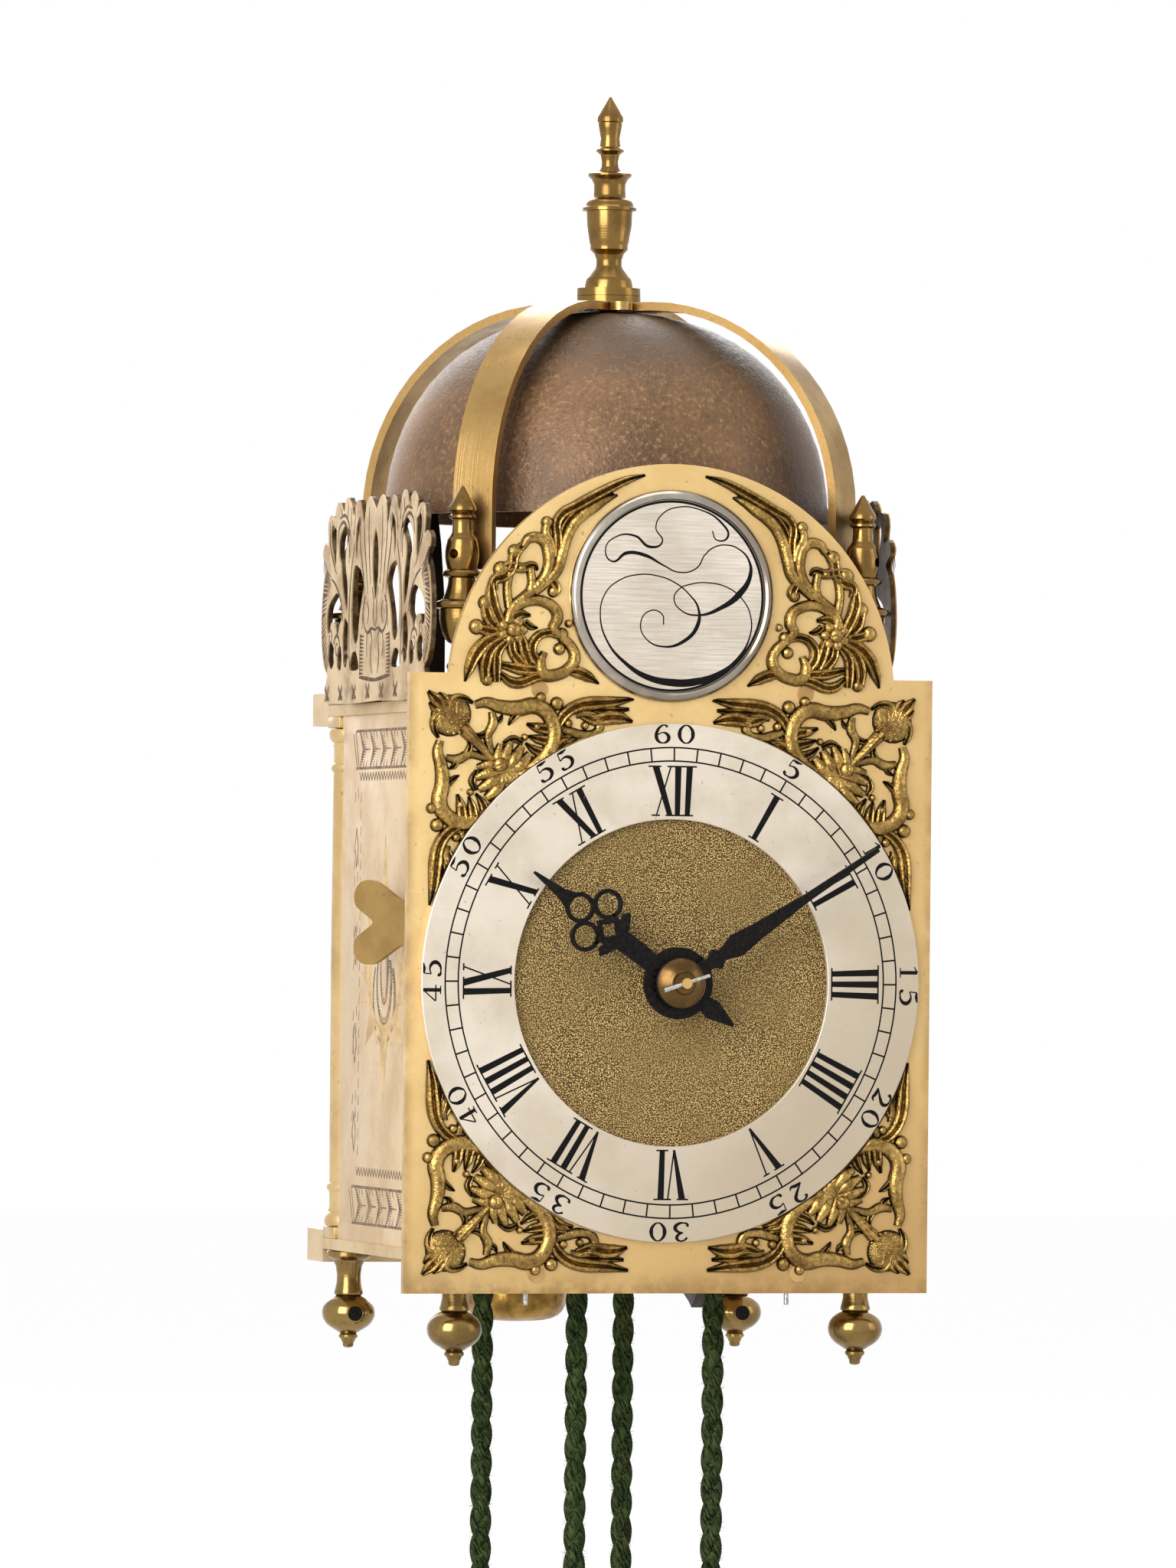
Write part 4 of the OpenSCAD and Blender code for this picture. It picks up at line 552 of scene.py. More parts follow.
# each figure on a square one high: (across, up, width)
figures = {
    "0": [["ring", (.29, 0, .05), (.08, .2, .12), (.02, .5, .17), (.08, .8, .12), (.29, 1, .05),
           (.5, .8, .12), (.56, .5, .17), (.5, .2, .12)]],
    "1": [[(.06, .82, .04), (.2, .92, .06), (.29, 1, .1)], [(.29, 1, .15), (.29, 0, .15)],
          [(.1, 0, .05), (.48, 0, .05)]],
    "2": [[(.05, .76, .15), (.1, .93, .1), (.28, 1, .06), (.46, .9, .13), (.5, .72, .16), (.38, .48, .13),
           (.2, .24, .08), (.04, .04, .06)],
          [(.04, .05, .08), (.28, .07, .15), (.48, .03, .1), (.56, .17, .04)]],
    "3": [[(.05, .82, .1), (.18, .97, .07), (.34, 1, .07), (.47, .85, .14), (.42, .67, .12),
           (.22, .55, .05)],
          [(.22, .55, .05), (.46, .46, .12), (.54, .26, .17), (.42, .06, .12), (.2, 0, .06), (.04, .1, .1),
           (.06, .2, .13)]],
    "4": [[(.42, 1, .05), (0, .3, .06)], [(0, .28, .06), (.62, .28, .06)], [(.42, 1, .15), (.42, 0, .15)],
          [(.26, 0, .05), (.58, 0, .05)]],
    "5": [[(.12, .97, .07), (.3, .95, .13), (.52, 1, .05)], [(.12, .97, .05), (.09, .55, .05)],
          [(.09, .55, .05), (.28, .63, .07), (.47, .53, .14), (.54, .31, .17), (.44, .08, .12),
           (.22, 0, .06), (.05, .08, .12), (.07, .18, .13)]],
    "6": [[(.48, .9, .12), (.35, 1, .05), (.16, .86, .1), (.05, .6, .14), (.03, .33, .16), (.11, .1, .12),
           (.29, 0, .05), (.47, .1, .12), (.53, .3, .16), (.45, .5, .12), (.28, .58, .05), (.1, .46, .05)]]}


def turned_by(a, u, v):
    """Where a point u across and v up lands when it is turned clockwise by the angle a."""
    return (v * math.sin(a) + u * math.cos(a), v * math.cos(a) - u * math.sin(a))


def circle(r, width):
    """A closed stroke round the middle."""
    parts = 72
    return ["ring"] + [(*turned_by(2 * math.pi * k / parts, 0, r), width) for k in range(parts)]


def cut_between(a, start, end):
    """A straight stroke between two places (across, up, width), both turned clockwise by the angle a."""
    return [(*turned_by(a, u, v), w) for u, v, w in (start, end)]


def minute_figures(five):
    """The strokes of one minute figure, standing outside the track with its feet to the middle."""
    high, wide, step, feet, weight = 3.75, 5.4, 5.1, 50.05, 5.2
    a, word, made = math.radians(five * 6), str(five), []
    start = -step * (len(word) - 1) / 2 - 0.29 * wide
    for k, sign in enumerate(word):
        for line in figures[sign]:
            closed = line[0] == "ring"
            bent = [(*turned_by(a, start + k * step + u * wide, feet + v * high), w * weight)
                    for u, v, w in (line[1:] if closed else line)]
            made.append((["ring"] if closed else []) + bent)
    return made


def hour_strokes(n, word):
    """One Roman hour, its feet to the middle, with thick and thin strokes and fine serifs."""
    foot_r, head_r, fine = 34.95, 45.15, 0.34
    lean = 0.86  # everything leans in a little towards the feet
    widths = {"I": 2.5, "V": 4.1, "X": 4.3}
    # each letter's strokes: (place and width at the foot, place and width at the head), from its middle
    strokes_of = {"I": (((0, 1.14), (0, 1.4)),),
                  "V": (((0.35, 0.56), (-1.35, 1.46)), ((0.35, 0.32), (1.75, fine))),
                  "X": (((1.5, 1.18), (-1.5, 1.44)), ((-1.9, 0.32), (1.8, fine)))}
    head_serifs = {"I": ((-1.55, 1.55),), "V": ((-2.7, -0.2), (1.0, 2.5)), "X": ((-3.1, -0.3), (1.0, 2.5))}
    foot_serifs = {"I": ((-1.5, 1.5),), "V": (), "X": ((-3.1, -1.0), (0.4, 2.6))}
    a, u, made = math.radians(n * 30), -sum(widths[c] for c in word) / 2, []
    for c in word:
        mid = u + widths[c] / 2
        for k, ((foot, foot_w), (head, head_w)) in enumerate(strokes_of[c]):
            lower = 0.1 if c == "V" and k == 0 else 0
            made.append(cut_between(a, ((mid + foot) * lean, foot_r - lower, foot_w),
                                    (mid + head, head_r, head_w)))
        for near, far in head_serifs[c]:
            made.append(cut_between(a, (mid + near, head_r, fine), (mid + far, head_r, fine)))
        for near, far in foot_serifs[c]:
            made.append(cut_between(a, ((mid + near) * lean, foot_r, fine),
                                    ((mid + far) * lean, foot_r, fine)))
        u += widths[c]
    return made


track_r, track_width = (46.3, 49.1), 0.36
ring_lines = [circle(r, 0.34) for r in track_r]
for minute in range(60):
    a = math.radians(minute * 6)
    ring_lines.append(cut_between(a, (0, track_r[0], track_width), (0, track_r[1], track_width)))
for five in range(5, 65, 5):
    ring_lines += minute_figures(five)
hours = ["I", "II", "III", "IIII", "V", "VI", "VII", "VIII", "IX", "X", "XI", "XII"]
for n, word in enumerate(hours, 1):
    ring_lines += hour_strokes(n, word)
ring_cuts = strokes(ring_lines, flat=0.07, turn=6)
lay_flat(ring_cuts, at(0, -1.4, 0))
settle(ring_cuts, "chapter_ring_figures", "frame", wax, 60)

# Arch boss
# Domed silvered disc in a moulded rim, riveted in the arch. Its plain face has only an engraver's
# flourish of paired loops over one long swelling curve.
boss_across, boss_up = -0.7, 80.75
boss_silver = Finish("boss_silver", IOR=1.45)
boss_x = boss_silver.part(0) - at(boss_across, 0, 0).x
boss_z = boss_silver.part(2) - at(0, 0, boss_up).z
boss_out = (boss_x ** 2.0 + boss_z ** 2.0) ** 0.5
boss_rim = boss_silver.ease(boss_out, 0.0198, 0.0201)
brushed = boss_silver.grain(1.0, 4, 0.6, squeeze=(90, 90, 2600))
boss_cloud = boss_silver.grain(60, 5, 0.6)
boss_face = boss_silver.mix(boss_silver.ease(boss_cloud, 0.35, 0.7), srgb(220, 210, 196),
                            srgb(202, 190, 174))
boss_face = boss_silver.mix(boss_silver.ease(brushed, 0.35, 0.65, 0, 0.45), boss_face, srgb(160, 148, 134))
boss_steel = boss_silver.mix(boss_silver.ease(boss_cloud, 0.3, 0.7), srgb(196, 188, 176),
                             srgb(146, 136, 122))
# painted shade: the rim is darker towards the right
boss_steel = boss_silver.mix(boss_silver.ease(boss_x, -0.012, 0.022, 0, 0.7), boss_steel,
                             srgb(112, 100, 84))
boss_silver.feed("Base Color", boss_silver.mix(boss_rim, boss_face, boss_steel))
boss_silver.feed("Metallic", boss_rim * 0.45 + 0.5)
boss_silver.feed("Roughness", boss_silver.ease(boss_out, 0.0198, 0.0201, 0.4, 0.2) + (brushed - 0.5) * 0.08)
boss_silver.relief(brushed, 0.00002, 0.5)
turned_copy("arch_boss", boss_silver, 28, name="arch_boss_silvered")
boss_cuts = [
    circle(19.75, 0.34),
    [(6.9, 8.6, .16), (8.7, 10.2, .16), (11.7, 10.9, .16), (14.6, 10, .18), (16.7, 7.7, .3),
     (17, 4.6, .6), (14.6, .6, 1.0), (10.8, -2.2, .62), (5.7, -3.9, .24), (1.9, -2.9, .16),
     (.4, -.6, .15), (1.3, 1.3, .15), (4.2, 2.6, .15), (8.1, 2.9, .15), (12.3, 1.9, .15),
     (15.5, -.6, .15), (17.2, -4, .16), (17, -8.3, .2), (14.3, -13, .4), (10.2, -16.2, .8),
     (4.8, -17.9, 1.15), (.6, -18.1, 1.15), (-5.3, -17, .85), (-10, -14.2, .5), (-13.9, -9.9, .26),
     (-15.6, -4.3, .16), (-14.5, .4, .15), (-11.5, 3.1, .15), (-7.7, 4.3, .15), (-3.5, 4.2, .15),
     (.6, 2.8, .16), (3.9, .2, .18), (5.7, -2.4, .3), (5.6, -6, .6), (2.6, -9.4, .5), (-1.8, -10.6, .24),
     (-5.6, -9, .15), (-6.8, -5.8, .15), (-4.9, -3.2, .15), (-2.2, -3.8, .15), (-1.8, -6, .15)],
    [(6.9, 8.6, .16), (5.2, 5.9, .16), (1.4, 5, .16), (-2, 6.4, .2), (-6, 8.4, .5), (-10, 8.8, .5),
     (-13.2, 7, .22), (-14.6, 9.6, .15), (-12.2, 12.2, .16), (-8.2, 12.4, .3), (-5, 10.2, .4),
     (-2.3, 11.2, .2), (-3.7, 14.2, .15), (-2.4, 17, .15), (1.2, 18.6, .15), (5.4, 18.3, .16),
     (10.6, 15.5, .3), (12, 12.6, .3), (9.6, 11.9, .16), (8.6, 13.8, .15)]]
boss_lines = strokes(widened(boss_cuts, 1.35, 0.07), flat=0.08, turn=14)
lay_flat(boss_lines, at(boss_across, -1.0, boss_up))
settle(boss_lines, "arch_boss_flourish", "frame", wax, 60)

# Corner and arch castings
# Cast brass scrolls and leaves, chased after casting: four in the dial's corners with a thistle head,
# a stem and an open flower, and two in the arch. One screw through each flower holds it to the dial.
cast_brass = brass("cast_brass", srgb(182, 148, 84), srgb(98, 72, 34), polish=0.2, metal=0.95, worn=0.75,
                   grain_size=1500, grain_depth=0.00005, patch=240, specks=0.5)
# painted shade: the casting's low parts next to the dial, in the recesses between its scrolls and leaves,
# are near black
cast_recess_shade = cast_brass.ease(cast_brass.part(1) - hands_centre.y, -0.0012, -0.0003)
cast_pits = cast_brass.grain(1300, 4, 0.7)
cast_chased = cast_brass.node("ShaderNodeTexVoronoi", {"feature": "DISTANCE_TO_EDGE"},
                              {"Vector": cast_brass.place, "Scale": 1150.0})
cast_dirt = cast_brass.ease(cast_pits, 0.42, 0.7, 0, 0.85)
cast_soil = cast_brass.mix(cast_dirt * 0.75, cast_brass.colour, srgb(50, 36, 16))
cast_brass.feed("Base Color", cast_brass.mix(cast_recess_shade * 0.96, cast_soil, srgb(22, 14, 6)))
cast_brass.relief(cast_pits * 0.6 + cast_chased * 0.6 + cast_brass.fine * 0.2, 0.00024, 0.8)

leaf_section = [(-.5, -.02), (-.49, .16), (-.4, .34), (-.28, .42), (-.17, .38), (-.09, .24), (0, .34),
                (.09, .24), (.17, .38), (.28, .42), (.4, .34), (.49, .16), (.5, -.02)]
rib_section = [(-.5, -.02), (-.44, .22), (-.26, .42), (0, .5), (.26, .42), (.44, .22), (.5, -.02)]


def swelling(lines, section, high):
    """Leaves and scrolls in half relief on the XY plane: a ribbed section swept along each line."""
    outline = bpy.data.curves.new("section", "CURVE")
    outline.dimensions = "2D"
    ring = outline.splines.new("POLY")
    ring.points.add(len(section) - 1)
    for point, (u, v) in zip(ring.points, section):
        point.co = (u * 0.001, v * 0.001 * high, 0, 1)
    ring.use_cyclic_u = True
    cutter = bpy.data.objects.new("section", outline)
    bpy.context.scene.collection.objects.link(cutter)
    drawn = bpy.data.curves.new("swelling", "CURVE")
    drawn.dimensions, drawn.bevel_mode, drawn.bevel_object = "2D", "OBJECT", cutter
    drawn.use_fill_caps, drawn.resolution_u, drawn.fill_mode = True, 5, "NONE"
    for line in lines:
        made = drawn.splines.new("BEZIER")
        made.bezier_points.add(len(line) - 1)
        for knot, (u, v, w) in zip(made.bezier_points, line):
            knot.co, knot.radius = (u * 0.001, v * 0.001, 0), w
            knot.handle_left_type = knot.handle_right_type = "AUTO"
    piece = bpy.data.objects.new("swelling", drawn)
    bpy.context.scene.collection.objects.link(piece)
    choose(piece)
    bpy.ops.object.convert(target="MESH")
    piece = bpy.context.object
    bpy.data.objects.remove(cutter)
    return piece


def lump(x, z, wide, high, proud, turn=0.0, rings=10, base=0.0):
    """A low rounded lump on the XY plane, standing proud of the given base."""
    deselect()
    bpy.ops.mesh.primitive_uv_sphere_add(segments=20, ring_count=rings, radius=0.001)
    piece = bpy.context.object
    bpy.ops.object.mode_set(mode="EDIT")
    bpy.ops.mesh.select_all(action="SELECT")
    bpy.ops.mesh.bisect(plane_co=(0, 0, -0.0002), plane_no=(0, 0, 1), clear_inner=True, use_fill=True)
    bpy.ops.object.mode_set(mode="OBJECT")
    piece.scale = (wide, high, proud)
    bpy.ops.object.transform_apply(scale=True)
    piece.rotation_euler.z = turn
    piece.location = (x * 0.001, z * 0.001, base * 0.001)
    bpy.ops.object.transform_apply(location=True, rotation=True)
    return piece


def join(pieces):
    """One piece made of several, which keeps the origin of the first."""
    deselect()
    for p in pieces:
        p.select_set(True)
    bpy.context.view_layer.objects.active = pieces[0]
    bpy.ops.object.join()
    return bpy.context.object


def clear_of(piece, centres):
    """Presses a casting's edge back to the round pieces next to it, and its face to one height."""
    back, top = 0.00001, 0.0018
    for v in piece.data.vertices:
        for cx, cz, r in centres:
            away = math.hypot(v.co.x * 1000 - cx, v.co.y * 1000 - cz)
            if away < r:
                v.co.x = (cx + (v.co.x * 1000 - cx) * r / max(away, 1e-6)) * 0.001
                v.co.y = (cz + (v.co.y * 1000 - cz) * r / max(away, 1e-6)) * 0.001
        v.co.z = max(back, min(v.co.z, top))
    return piece


def mirrored(piece, across=False, up=False):
    """A copy of a piece on the XY plane, turned over across the middle or over the level."""
    choose(piece)
    bpy.ops.object.duplicate()
    other = bpy.context.object
    for v in other.data.vertices:
        v.co.x *= -1 if across else 1
        v.co.y *= -1 if up else 1
    if across != up:
        bpy.ops.object.mode_set(mode="EDIT")
        bpy.ops.mesh.select_all(action="SELECT")
        bpy.ops.mesh.flip_normals()
        bpy.ops.object.mode_set(mode="OBJECT")
    return other


corner_scrolls = [
    [(14.1, 6.6, 1.8), (16.4, 6.1, 2.4), (19.4, 6.9, 3.0), (23.4, 7.2, 3.5), (26.8, 6.6, 3.6),
     (29.4, 7.8, 3.5), (30.9, 10.4, 3.5), (31.1, 13.4, 3.5), (29.9, 16.4, 3.6), (27.6, 18.6, 3.2),
     (24.8, 19.9, 2.0)],
    [(35.9, 8.4, 1.6), (38.7, 8.1, 2.0), (40.9, 9.8, 2.2), (40.5, 11.9, 2.2), (37.8, 12.6, 2.3),
     (34.9, 12, 2.2), (33, 11.4, 1.8)],
    [(17.7, 8, 1.6), (18, 10.4, 2.3), (16.9, 12.9, 2.0), (17.4, 15.6, 1.7), (17.9, 17.8, 1.6)]]
corner_leaves = [
    [(31.8, 10.8, 2.0), (33.3, 8.4, 2.6), (36.2, 6.5, 2.8), (39.4, 5.9, 3.1), (43.5, 5.6, 2.6),
     (48.4, 4.8, 0.8)],
    [(37.1, 8.4, 1.8), (40, 9.3, 2.8), (43.2, 8.8, 3.3), (45.6, 8.9, 2.8), (48.2, 9.6, 0.7)],
    [(39.6, 7.2, 1.6), (43.6, 7.4, 2.2), (47.4, 7.0, 0.8)],
    [(31.4, 16.2, 1.8), (33.4, 14.3, 2.6), (36.3, 13.7, 1.2)],
    [(32.2, 13.4, 1.6), (34.4, 13.4, 2.2), (36, 12.6, 0.8)],
    [(30.2, 11.5, 2.6), (27.4, 11.1, 2.2), (25.2, 10.4, 0.7)],
    [(30.4, 14, 2.6), (27.6, 13.5, 2.1), (25.6, 12.9, 0.6)],
    [(29.2, 16.6, 2.4), (26.8, 15.7, 1.9), (25, 14.4, 0.6)],
    [(23, 8.4, 1.8), (21.8, 9.9, 1.2), (21.3, 10.8, 0.4)],
    [(16.8, 12.4, 1.7), (15.2, 13, 1.5), (14, 12.6, 0.5)],
    [(18, 10.2, 1.7), (19.4, 9.6, 1.4), (20, 8.6, 0.5)],
    [(9, 8, 3.0), (9.6, 5.8, 2.6), (11.4, 5.3, 1.8), (13.6, 6.2, 0.8)],
    [(8.6, 8.2, 3.0), (7.2, 5.4, 2.4), (6.2, 4.2, 0.7)],
    [(20.2, 14.6, 1.0), (22.4, 13.6, 1.8), (24.4, 14.4, 1.2)]]
corner_petals = [
    [(19.6, 20.2, 1.8), (19.0, 17.4, 2.6), (19.6, 14.6, 1.4)],
    [(20.2, 20.2, 1.8), (20.7, 17.2, 3.0), (21.8, 14.2, 1.5)],
    [(20.8, 20.4, 1.8), (22.6, 17.8, 3.2), (24.2, 15.0, 1.7)],
    [(21.4, 20.8, 1.8), (24.2, 18.8, 3.2), (26.0, 16.6, 1.8)],
    [(22.0, 21.4, 1.8), (24.8, 20.6, 2.8), (27.0, 19.0, 1.8)]]
stem_lines = [
    [(11.4, 12.4, 1.5), (14.6, 15.2, 1.4), (17.9, 18.1, 1.2)],
    [(12.4, 11.4, 1.5), (15.2, 14.6, 1.4), (18.1, 17.9, 1.2)],
    [(11.2, 11.2, 1.9), (14.8, 14.8, 1.7), (18, 18, 1.3)]]
# the curled knobs along a corner's scrolls: (across, up, radius)
corner_knobs = [(31.7, 6.1, 1.5), (34.2, 10.2, 1.0), (28.2, 4.9, 1.2), (22.6, 21.6, 1.3), (27.4, 11.0, 0.9),
                (24.8, 13.2, 0.8), (37.8, 10.6, 0.9)]
flower, knob_proud = 20.2, 1.35


def both_ways(lines):
    """The lines, and the same lines turned over the corner's slanting middle."""
    return lines + [[(v, u, w) for u, v, w in line] for line in lines]


corner = [swelling(both_ways(corner_leaves), leaf_section, 1.15),
          swelling(both_ways(corner_scrolls), rib_section, 0.98),
          swelling(stem_lines, rib_section, 1.9),
          swelling(both_ways(corner_petals), rib_section, 1.1)]
# thistle head with its tuft and three rows of prickles
corner.append(lump(8.9, 8.9, 4.3, 4.6, 1.4, math.pi / 4))
corner.append(swelling([[(8, 8, 2.6), (5.6, 5.6, 2.8), (3.9, 3.9, 0.8)]], leaf_section, 1.2))
for row, (reach, many) in enumerate(((1.1, 6), (2.2, 11), (3.2, 16))):
    for k in range(many):
        a = 2 * math.pi * (k + 0.5 * (row % 2)) / many
        x, z = 9.4 + reach * math.cos(a), 9.4 + reach * math.sin(a)
        corner.append(lump(x, z, 0.42, 0.42, 0.42, a, 6, 1.26 - 0.085 * reach ** 1.7))
for x, z, r in corner_knobs:
    corner += [lump(x, z, r, r, knob_proud), lump(z, x, r, r, knob_proud)]
# small petals left on the flower between the fans
for k in range(5):
    a = math.radians(45 + (k - 2) * 24)
    petal = [(flower + reach * math.cos(a), flower + reach * math.sin(a), width)
             for reach, width in ((0, 1.4), (2.4, 2.4), (4, 1.4))]
    corner.append(swelling([petal], rib_section, 1.2))
low_corner = join(corner)
# the casting is drawn from the dial's corner, and the upper two sit a little closer to the middle
corner_across, corner_down, upper_drop = 0.057, 0.0648, 0.0008
for v in low_corner.data.vertices:
    v.co.x, v.co.y = v.co.x - corner_across, v.co.y - corner_down
high_corner = mirrored(low_corner, up=True)
for v in high_corner.data.vertices:
    v.co.y -= upper_drop
ring_edge, boss_edge = (0, 0, 54.45), (0, boss_up, 23.2)
clear_of(low_corner, [ring_edge])
clear_of(high_corner, [ring_edge, boss_edge])
for name, half_piece in (("spandrels_lower", low_corner), ("spandrels_upper", high_corner)):
    both = join([half_piece, mirrored(half_piece, across=True)])
    lay_flat(both, at(0, 0, 0))
    settle(both, name + "_chased", "frame", cast_brass, 50)
    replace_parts(both, name)

arch_scrolls = [
    [(-12.6, 101.6, 0.6), (-14.5, 100.9, 1.6), (-17.7, 98.9, 2.4), (-20.3, 97.2, 2.7), (-22.2, 95.2, 2.6),
     (-23.6, 92.4, 2.6), (-24.7, 88.9, 2.8), (-25.7, 85.6, 2.7), (-28.2, 83, 2.5), (-30.5, 81, 2.2)],
    [(-33, 90.4, 1.7), (-31.6, 92.2, 2.3), (-28.9, 92, 2.5), (-27.4, 89, 2.7), (-27.7, 85.4, 2.6),
     (-29.8, 82.4, 2.4), (-32.6, 80, 2.3), (-35.2, 77.6, 2.4), (-36.2, 74.6, 2.6)],
    [(-36, 74.6, 2.4), (-35.3, 76.8, 2.3), (-33.4, 78.4, 2.3), (-30.7, 79.3, 2.4), (-27.8, 78.9, 2.5),
     (-25.8, 77.4, 2.6), (-25.4, 75.5, 2.6), (-26.2, 73.4, 2.3), (-24.6, 72.2, 2.2)],
    [(-24.6, 71.8, 2.2), (-22.2, 69.6, 2.4), (-21.6, 67.1, 2.7), (-22.9, 65.2, 2.6), (-25.5, 63.9, 2.7),
     (-28.2, 64.0, 2.8), (-29.0, 66.3, 2.5), (-28.1, 68.6, 1.6)],
    [(-35.8, 85, 2.0), (-36.3, 81.8, 2.0), (-35.8, 77.7, 2.1)],
    [(-31.4, 85.9, 2.0), (-31.0, 83, 2.0), (-31.7, 80.6, 2.0)],
    [(-27.8, 95.5, 2.0), (-28.1, 93.4, 2.1), (-27.0, 91.2, 2.2), (-26.3, 88.4, 2.2)]]
arch_leaves = [
    [(-6.6, 105.9, 0.6), (-10.5, 104.8, 1.8), (-14, 103.2, 2.3), (-19.3, 100.4, 2.5), (-22, 98.9, 2.4),
     (-24.4, 97.6, 2.3), (-25.7, 95.6, 2.2), (-25.5, 92.5, 2.2), (-25.4, 89.5, 2.2)],
    [(-13.5, 102, 1.2), (-18.4, 99.4, 1.9), (-22.3, 97, 2.0), (-24.3, 94, 1.8), (-24.8, 91, 1.2)],
    [(-33, 90.8, 1.8), (-34.8, 88.6, 2.5), (-35.4, 85.9, 2.3), (-37, 84.2, 2.7), (-39.2, 83.2, 2.2),
     (-39, 81.2, 1.6)],
    [(-39.8, 83, 1.4), (-39.7, 79.6, 2.9), (-38.6, 76.2, 2.8), (-36.9, 73.2, 2.4)],
    [(-41, 78.2, 2.2), (-40.2, 75.2, 2.6), (-37.8, 73, 2.0)],
    [(-42.8, 73.4, 2.0), (-40.4, 72.8, 2.6), (-37.4, 72.4, 2.0)],
    [(-38.8, 84, 1.6), (-36.3, 86.2, 2.5), (-32.8, 86, 2.3), (-30.6, 86.6, 1.7), (-29.7, 85.6, 0.6)],
    [(-36, 74.8, 2.4), (-33.8, 76.3, 2.6), (-31.2, 76.2, 0.8)],
    [(-24.5, 72.2, 2.2), (-27.5, 72.6, 2.0), (-30, 71.4, 2.2), (-30.9, 68.6, 2.5), (-29.4, 66, 2.3)],
    [(-37.5, 63.9, 1.4), (-35.3, 62.3, 2.4), (-33.3, 62.1, 2.5), (-30.1, 63.3, 2.4), (-28.1, 63.6, 2.0)],
    [(-37.2, 65.8, 1.6), (-33.4, 65, 2.7), (-29.4, 64.8, 2.2)],
    [(-23.4, 64.6, 1.2), (-20.9, 64.5, 2.7), (-18.6, 63.6, 2.4), (-16.2, 62.2, 0.5)],
    [(-36.4, 72.4, 2.0), (-40.5, 70.6, 2.9), (-42.8, 68.2, 3.1), (-44.3, 64.9, 2.3), (-45.2, 62.2, 0.5)],
    [(-36.4, 71.8, 2.0), (-39.6, 69.2, 2.7), (-40.9, 66.1, 2.9), (-40.8, 62.2, 2.0)],
    [(-36, 71.2, 1.8), (-38.2, 68.4, 2.3), (-38.5, 65.5, 2.4), (-38.4, 62.2, 1.8)],
    [(-34, 72.8, 1.8), (-33, 70.6, 2.5), (-32.4, 68.4, 2.6), (-31.4, 66.2, 2.2)],
    [(-35, 72, 1.6), (-35.2, 69, 2.1), (-33.6, 66.6, 2.3), (-31.4, 65, 1.8)],
    [(-26.6, 83.6, 2.0), (-25.8, 81.6, 2.4), (-27, 80.6, 1.0)],
    [(-32.4, 74.8, 1.6), (-31, 73.8, 1.6), (-29.6, 73.6, 0.5)]]
arch_knobs = [(-27.8, 95.6, 1.35), (-34.7, 89.4, 1.6), (-37.6, 85.6, 1.8), (-40.9, 78.6, 1.7),
              (-42.8, 73.6, 1.7), (-24.3, 72.4, 1.4), (-24.9, 69.3, 1.35), (-26.3, 81.2, 1.3),
              (-33.2, 85.9, 1.1), (-28.8, 92.4, 1.2), (-40.4, 62.6, 1.3), (-22.9, 74.6, 0.9)]
arch_screw = (35.2, 73.1)
arch = [swelling(arch_leaves, leaf_section, 1.3), swelling(arch_scrolls, rib_section, 1.25)]
arch += [lump(x, z, r, r, knob_proud) for x, z, r in arch_knobs]
# the ring of small petals round the arch casting's screw
for k in range(7):
    a = math.radians(k * 51.4)
    x, z = 2.0 * math.cos(a) - arch_screw[0], 2.0 * math.sin(a) + arch_screw[1]
    arch.append(lump(x, z, 1.4, 1.1, 1.1, a, 8, 0.5))
arch_left = clear_of(join(arch), [boss_edge])
both = join([arch_left, mirrored(arch_left, across=True)])
lay_flat(both, at(0, 0, 0))
settle(both, "arch_castings_chased", "frame", cast_brass, 50)
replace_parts(both, "arch_spandrels")

# domed screw heads with their slots filed across
screw_places = [(s * x, z) for x, z in ((37.8, -45.8), (37.8, 45), arch_screw) for s in (-1, 1)]
for k, (x, z) in enumerate(screw_places):
    head = lump(0, 0, 1.5, 1.5, 1.05, 0, 14)
    for v in head.data.vertices:
        if v.co.z > 0.0003 and abs(v.co.x * math.cos(k) + v.co.y * math.sin(k)) < 0.00022:
            v.co.z -= 0.00028
    lay_flat(head, at(x, -1.75, z))
    settle(head, f"casting_screw_{k}", "frame", cast_brass, 50)
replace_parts(bpy.data.objects["casting_screw_0"], "spandrel_screws")

# Hands
# Pierced steel hands, filed by hand and blued almost black, the hour hand on its pipe and the minute
# hand before it under a domed brass collet, held by a bright steel taper pin.
blued = Finish("blued_steel", Metallic=0.0, Specular_IOR_Level=0.12)
blued_fine = blued.grain(1300, 4, 0.65)
blued.feed("Base Color", blued.mix(blued.ease(blued_fine, 0.4, 0.72), srgb(8, 6, 6), srgb(26, 21, 19)))
blued.feed("Roughness", blued.ease(blued_fine, 0.3, 0.7, 0.26, 0.5))
blued.relief(blued_fine, 0.00005, 0.5)
for node, body in (("hour_hand", "hour"), ("minute_hand", "minute")):
    soften(turned_copy(node, blued, 30, body, node + "_filed"), 0.00022, 50)
turning = brass("turned_brass", srgb(104, 78, 44), srgb(46, 31, 15), polish=0.2, metal=0.95, worn=0.5,
                patch=120, specks=0.3)
turning_marks = turning.grain(1.0, 2, 0.5, squeeze=(120, 120, 2600))
turning.relief(turning_marks + turning.fine * 0.5, 0.00003, 0.5)
turned_copy("hand_collet", turning, 30, "minute")
steel = Finish("bright_steel", Metallic=0.9, IOR=1.45)
steel_fine = steel.grain(1600, 3, 0.6)
steel.feed("Base Color", steel.mix(steel.ease(steel_fine, 0.4, 0.7), srgb(196, 194, 190),
                                   srgb(140, 136, 130)))
steel.feed("Roughness", steel.ease(steel_fine, 0.3, 0.7, 0.22, 0.42))
steel.relief(steel_fine, 0.00003, 0.4)
turned_copy("hand_pin", steel, 30, "minute")
turned_copy("dial_pins", steel, 30)

